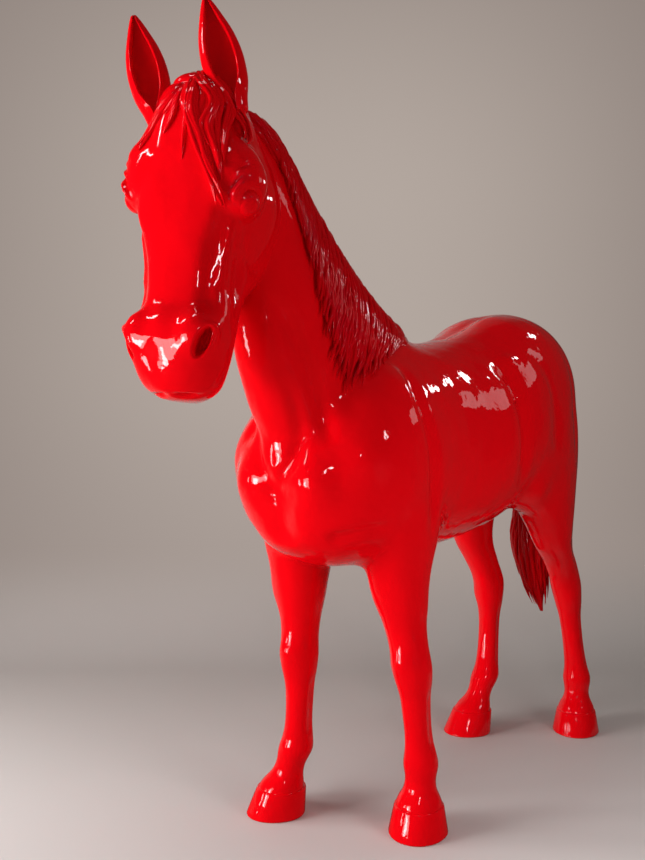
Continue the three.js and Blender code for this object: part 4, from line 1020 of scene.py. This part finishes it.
for piece in skins.values():
    applied(piece, "SOLIDIFY", thickness=skinShape["wall"], offset=-1, use_even_offset=False)
    showWholeNormals(piece)
legs = {}
for name, limb in limbs.items():
    leg = copyOf(body, name + "_casting")
    cutAway(leg, (0, 0, legShape["foreJoint" if limb["fore"] else "hindJoint"]), (0, 0, 1), fill=True)
    keepWhere(leg, lambda co: (
        ((co[:, 0] - bodyShift.x) * limb["side"] > 0) & ((co[:, 1] < hindFrom) == limb["fore"])
    ))
    cutAway(leg, (0, 0, legShape["hoof"]), (0, 0, -1), fill=True)
    showWholeNormals(leg)
    legs[name] = leg
bpy.data.objects.remove(body)
bpy.data.objects.remove(head)
print("stage: skins and castings cut")

boxRoom = {"gap": 0.0003, "blend": 2.2}


def keepInside(piece):  # a form past the CAD model's box is eased back inside it
    co = points(piece)
    for axis in (0, 1):
        for side, limit in ((-1, -cadLow[axis]), (1, cadHigh[axis])):
            reach = co[:, axis] * side
            past = reach.max() - (limit - boxRoom["gap"])
            if past <= 0:
                continue
            band = boxRoom["blend"] * past
            start = reach.max() - band
            share = np.clip((reach - start) / band, 0, 1)
            eased = start + band * (share - share ** 2 / boxRoom["blend"])
            co[:, axis] = np.where(reach > start, side * eased, co[:, axis])
    setPoints(piece, co)


for piece in [*skins.values(), *legs.values(), *hooves.values(), tail]:
    keepInside(piece)


# Finishes
def wire(tree, node, inputs):  # an input takes a value, a colour or another node's output
    for key, value in inputs.items():
        if isinstance(value, bpy.types.NodeSocket):
            tree.links.new(value, node.inputs[key])
        elif node.inputs[key].type == "RGBA":
            node.inputs[key].default_value = (*value, 1)
        else:
            node.inputs[key].default_value = value


def addNode(tree, kind, inputs=None, **settings):
    node = tree.nodes.new("ShaderNode" + kind)
    for key, value in settings.items():
        setattr(node, key, value)
    wire(tree, node, inputs or {})
    return node.outputs


def newMaterial(name):
    material = bpy.data.materials.new(name)
    material.use_nodes = True
    tree = material.node_tree
    return material, tree, tree.nodes["Principled BSDF"], addNode(tree, "TexCoord")["Object"]


def noiseOn(tree, coords, scale, detail, stretch=None):
    if stretch:
        coords = addNode(tree, "Mapping", {"Scale": stretch, "Vector": coords})["Vector"]
    return addNode(tree, "TexNoise", {"Scale": scale, "Detail": detail, "Vector": coords})["Fac"]


def bumpFrom(tree, height, distance, strength=1.0, under=None):
    inputs = {"Distance": distance, "Strength": strength, "Height": height}
    if under:
        inputs["Normal"] = under
    return addNode(tree, "Bump", inputs)["Normal"]


def mixColour(tree, factor, low, high):
    return addNode(tree, "Mix", {0: factor, 6: low, 7: high}, data_type="RGBA")[2]


lacquerLook = {
    "roughness": 0.04, "clouds": 2.3,
    "waves": ((4.5, 0.0085), (9.0, 0.0042), (19.0, 0.002), (50.0, 0.0005)),  # scale, distance
    "coat": {"deep": (0.66, 0.0005, 0.0034), "bright": (0.76, 0.0007, 0.0046), "ior": 1.45},
    # painted shade: the hair's red is darker than the coat's, standing in for the shade among the locks
    "hair": {"deep": (0.34, 0.0004, 0.0026), "bright": (0.6, 0.0006, 0.004), "ior": 1.3},
    "strands": {"scale": 10, "stretch": (14, 14, 1.6), "distance": 0.0006},
}


def redLacquer(name, look, strands=None):
    material, tree, shader, coords = newMaterial(name)
    normal = None
    for scale, distance in lacquerLook["waves"]:
        normal = bumpFrom(tree, noiseOn(tree, coords, scale, 1), distance, 1.0, normal)
    if strands:
        height = noiseOn(tree, coords, strands["scale"], 2, strands["stretch"])
        normal = bumpFrom(tree, height, strands["distance"], 1.0, normal)
    clouds = noiseOn(tree, coords, lacquerLook["clouds"], 2)
    wire(tree, shader, {
        "Base Color": mixColour(tree, clouds, look["deep"], look["bright"]), "Normal": normal,
        "Roughness": lacquerLook["roughness"], "IOR": look["ior"],
    })
    return material


def weldedSteel():
    material, tree, shader, coords = newMaterial("frame_steel")
    drawn = noiseOn(tree, coords, 8, 4, (12, 12, 1.2))
    wire(tree, shader, {
        "Base Color": mixColour(tree, drawn, (0.3, 0.31, 0.32), (0.46, 0.47, 0.48)),
        "Normal": bumpFrom(tree, noiseOn(tree, coords, 60, 3), 0.0004, 0.5),
        "Metallic": 1, "Roughness": 0.42,
    })
    return material


def plywoodBoard():
    material, tree, shader, coords = newMaterial("former_board")
    grain = noiseOn(tree, coords, 5, 6, (3, 20, 24))
    wire(tree, shader, {
        "Base Color": mixColour(tree, grain, (0.42, 0.27, 0.14), (0.68, 0.5, 0.31)),
        "Normal": bumpFrom(tree, grain, 0.0006, 0.6), "Roughness": 0.7,
    })
    return material


redCoat = redLacquer("red_coat", lacquerLook["coat"])
# the hair's coat carries painted shade: a darker copy of the red lacquer
maneShadedCoat = redLacquer("red_coat_hair_painted_shade", lacquerLook["hair"], lacquerLook["strands"])
steel, board = weldedSteel(), plywoodBoard()
finishOf = {part["node"]: part["material_slot"] for part in frame["record"]["subparts"]}
for name, node in frame["nodes"].items():
    finish = {"frame_steel": steel, "former_board": board}.get(finishOf[name], redCoat)
    for slot in node.material_slots:
        slot.material = finish


def dress(piece, material, *nodes):
    piece.data.materials.clear()
    piece.data.materials.append(material)
    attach(piece, "root")
    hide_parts(*nodes)


for name, piece in {**skins, **legs, **hooves, **eyes, **ears}.items():
    dress(piece, redCoat, name)
dress(mane, maneShadedCoat, "mane")
dress(forelock, redCoat, "forelock")
dress(tail, maneShadedCoat, "tail")
print("stage: finishes on")


# Studio: a paper sweep behind the horse, seen from its own front only
studioShape = {
    "sweepStart": 4.2, "sweepRadius": 1.3, "wallHeight": 6, "halfWidth": 9, "front": 9, "bendRows": 18,
    # painted shade: the floor's colour darkens away from the camera
    "floorNear": (0.63, 0.595, 0.575), "floorFarShade": (0.5, 0.455, 0.43), "floorShadeFade": (2.2, 4.0),
    # painted light: to the camera the wall glows in these tones, paler upward and darker towards its sides
    # and top
    "wallGlowLow": (0.385, 0.325, 0.295), "wallGlowHigh": (0.45, 0.385, 0.345), "wallEdgeShade": (0.25, 0.205, 0.185),
    "wallRise": (0.2, 1.8), "wallFrom": (0.0, 0.5), "rightFade": (0.3, 3.4), "leftFade": (0.3, 3.8),
    "topFade": (2.6, 5.6), "roughness": 0.6, "specular": 0.1,
    # painted shade: near the horse and to its right the gloss sees a dark sheet in place of the lit floor
    "glossShade": (0.035, 0.03, 0.026), "glossShadeNear": (1.2, -0.6), "glossShadeRight": (0.2, 1.6),  # as the gloss sees it
}
viewYaw = math.radians(cameraView["yaw"])
viewAhead = Vector((-math.sin(viewYaw), math.cos(viewYaw), 0))
viewRight = Vector((math.cos(viewYaw), math.sin(viewYaw), 0))
sweepFoot = Vector((camera.location.x, camera.location.y, 0))


def sweepProfile():
    start, radius = studioShape["sweepStart"], studioShape["sweepRadius"]
    bend = np.radians(np.linspace(5, 90, studioShape["bendRows"]))
    return [
        (-studioShape["front"], 0), (0, 0), (start, 0),
        *[(start + radius * math.sin(a), radius * (1 - math.cos(a))) for a in bend],
        (start + radius, studioShape["wallHeight"]),
    ]


def buildSweep():
    deselectAll()
    rows = sweepProfile()
    bpy.ops.mesh.primitive_plane_add(size=1)
    sweep = bpy.context.object
    sweep.name = "studio_sweep"
    bpy.ops.object.mode_set(mode="EDIT")
    bpy.ops.mesh.select_mode(type="EDGE")
    shape = bmesh.from_edit_mesh(sweep.data)
    for vert in shape.verts:
        row = rows[0] if vert.co.y < 0 else rows[1]
        aside = studioShape["halfWidth"] * (1 if vert.co.x > 0 else -1)
        vert.select = vert.co.y > 0
        vert.co = sweepFoot + viewAhead * row[0] + viewRight * aside + Vector((0, 0, row[1]))
    shape.select_flush_mode()
    for edge in shape.edges:
        edge.select = all(vert.select for vert in edge.verts)
    bmesh.update_edit_mesh(sweep.data)
    for last, row in zip(rows[1:], rows[2:]):
        step = viewAhead * (row[0] - last[0]) + Vector((0, 0, row[1] - last[1]))
        bpy.ops.mesh.extrude_edges_move(TRANSFORM_OT_translate={"value": step})
    bpy.ops.object.mode_set(mode="OBJECT")
    bpy.ops.object.shade_smooth()
    return sweep


# the sweep is paper to the lamps, with painted shade on its floor, a painted glow on its wall for the camera,
# and a painted dark sheet for the gloss
def paper():
    material, tree, diffuse, coords = newMaterial("studio_paper_painted_light")
    rays = addNode(tree, "LightPath")

    def along(way, foot, span):  # 0 to 1 over a span along a way, measured from a foot
        spot = addNode(tree, "VectorMath", {0: coords, 1: way}, operation="DOT_PRODUCT")["Value"]
        start = foot.dot(way)
        inputs = {"Value": spot, "From Min": start + span[0], "From Max": start + span[1]}
        return addNode(tree, "MapRange", inputs, interpolation_type="SMOOTHSTEP")["Result"]

    def combined(operation, first, second):
        return addNode(tree, "Math", {0: first, 1: second}, operation=operation)["Value"]

    def blended(share, low, high):
        return addNode(tree, "MixShader", {"Fac": share, 1: low, 2: high})["Shader"]

    up = Vector((0, 0, 1))
    # painted shade: the floor's colour darkens from near to far
    floorShadeFade = along(viewAhead, sweepFoot, studioShape["floorShadeFade"])
    floorTone = mixColour(tree, floorShadeFade, studioShape["floorNear"], studioShape["floorFarShade"])
    # painted light: the wall's glow is paler upward and darker towards its sides and top
    wallRise = along(up, sweepFoot, studioShape["wallRise"])
    wallGlowTone = mixColour(tree, wallRise, studioShape["wallGlowLow"], studioShape["wallGlowHigh"])
    for way, fade in ((viewRight, "rightFade"), (-viewRight, "leftFade"), (up, "topFade")):
        share = along(way, sweepFoot, studioShape[fade])
        wallGlowTone = mixColour(tree, share, wallGlowTone, studioShape["wallEdgeShade"])
    wire(tree, diffuse, {
        "Base Color": floorTone,
        "Roughness": studioShape["roughness"],
        "Specular IOR Level": studioShape["specular"],
    })
    # painted light: for camera rays the wall glows in place of lit paper
    glow = addNode(tree, "Emission", {"Color": wallGlowTone})["Emission"]
    raised = combined("MULTIPLY", along(up, sweepFoot, studioShape["wallFrom"]), rays["Is Camera Ray"])
    wall = blended(raised, diffuse.outputs["BSDF"], glow)
    # painted shade: reflections of the floor near the horse and to its right show a dark sheet
    nearSide = along(viewAhead, bodyShift, studioShape["glossShadeNear"])
    rightSide = along(viewRight, bodyShift, studioShape["glossShadeRight"])
    glossShadeShare = combined("MULTIPLY", combined("MAXIMUM", nearSide, rightSide), rays["Is Glossy Ray"])
    glossShade = addNode(tree, "Emission", {"Color": studioShape["glossShade"]})["Emission"]
    clear = addNode(tree, "BsdfTransparent")["BSDF"]
    behind = addNode(tree, "NewGeometry")["Backfacing"]
    shown = blended(behind, blended(glossShadeShare, wall, glossShade), clear)
    wire(tree, tree.nodes["Material Output"], {"Surface": shown})
    return material


buildSweep().data.materials.append(paper())

lamps = [  # name, place, target, width and height, power, whether the gloss mirrors it
    ("front_panel", (-1.25, -4.5, 0.8), (0, -1.0, 1.1), (1.5, 1.5), 46, True),
    ("key_panel", (-3.0, -3.9, 0.65), (0, -0.7, 0.7), (0.4, 1.1), 14, True),
    ("hoof_strip", (-1.36, -4.3, 0.2), (0, -0.9, 0.1), (0.44, 1.4), 36, True),
    ("front_fill", (-1.75, -3.3, 1.35), (0, -0.9, 1.3), (1.2, 1.2), 80, False),
    ("neck_fill", (-2.5, -2.0, 1.7), (0, -0.85, 1.25), (0.9, 0.9), 36, False),
    ("flank_fill", (1.9, -0.45, 0.75), (0.2, -0.2, 1.0), (0.9, 0.9), 15, False),
    ("overhead", (0.4, 0.4, 4.4), (0, 0.2, 0), (2.6, 1.6), 22, False),
    ("top_lamp", (-0.25, -2.0, 4.3), (0, -1.1, 1.9), (0.5, 0.5), 9, True),
    ("cheek_lamp", (2.3, -3.1, 2.2), (0.1, -1.1, 1.6), (0.2, 0.5), 8, True),
    ("ear_lamp", (-1.9, -2.7, 3.5), (0.05, -1.05, 2.1), (0.16, 0.7), 6, True),
    ("rear_panel", (1.9, 2.5, 2.8), (0.2, -0.1, 1.3), (0.8, 0.5), 1.6, True),
    ("hip_lamp", (0.62, 1.7, 2.45), (0.22, 0.0, 1.4), (0.26, 0.16), 2.2, True),
    ("side_lamp", (3.6, 0, 3.5), (0.2, -0.2, 1.4), (0.3, 0.4), 7, True),
]
for name, place, target, size, power, inGloss in lamps:
    lamp = bpy.data.objects.new(name, bpy.data.lights.new(name, "AREA"))
    bpy.context.scene.collection.objects.link(lamp)
    lamp.location = place
    lamp.rotation_euler = (Vector(target) - Vector(place)).to_track_quat("-Z", "Y").to_euler()
    lamp.data.shape = "RECTANGLE"
    lamp.data.size, lamp.data.size_y = size
    lamp.data.energy = power
    lamp.visible_glossy = inGloss

roomAir = {"tint": (1.0, 0.95, 0.91), "lights": 0.085, "mirrored": 0.02}
world = bpy.data.worlds.new("studio")
bpy.context.scene.world = world
world.use_nodes = True
glossy = addNode(world.node_tree, "LightPath")["Is Glossy Ray"]
strength = addNode(world.node_tree, "Mix", {0: glossy, 2: roomAir["lights"], 3: roomAir["mirrored"]})[0]
wire(world.node_tree, world.node_tree.nodes["Background"], {"Color": roomAir["tint"], "Strength": strength})
bpy.context.scene.view_settings.view_transform = "Standard"
print("stage: studio lit")
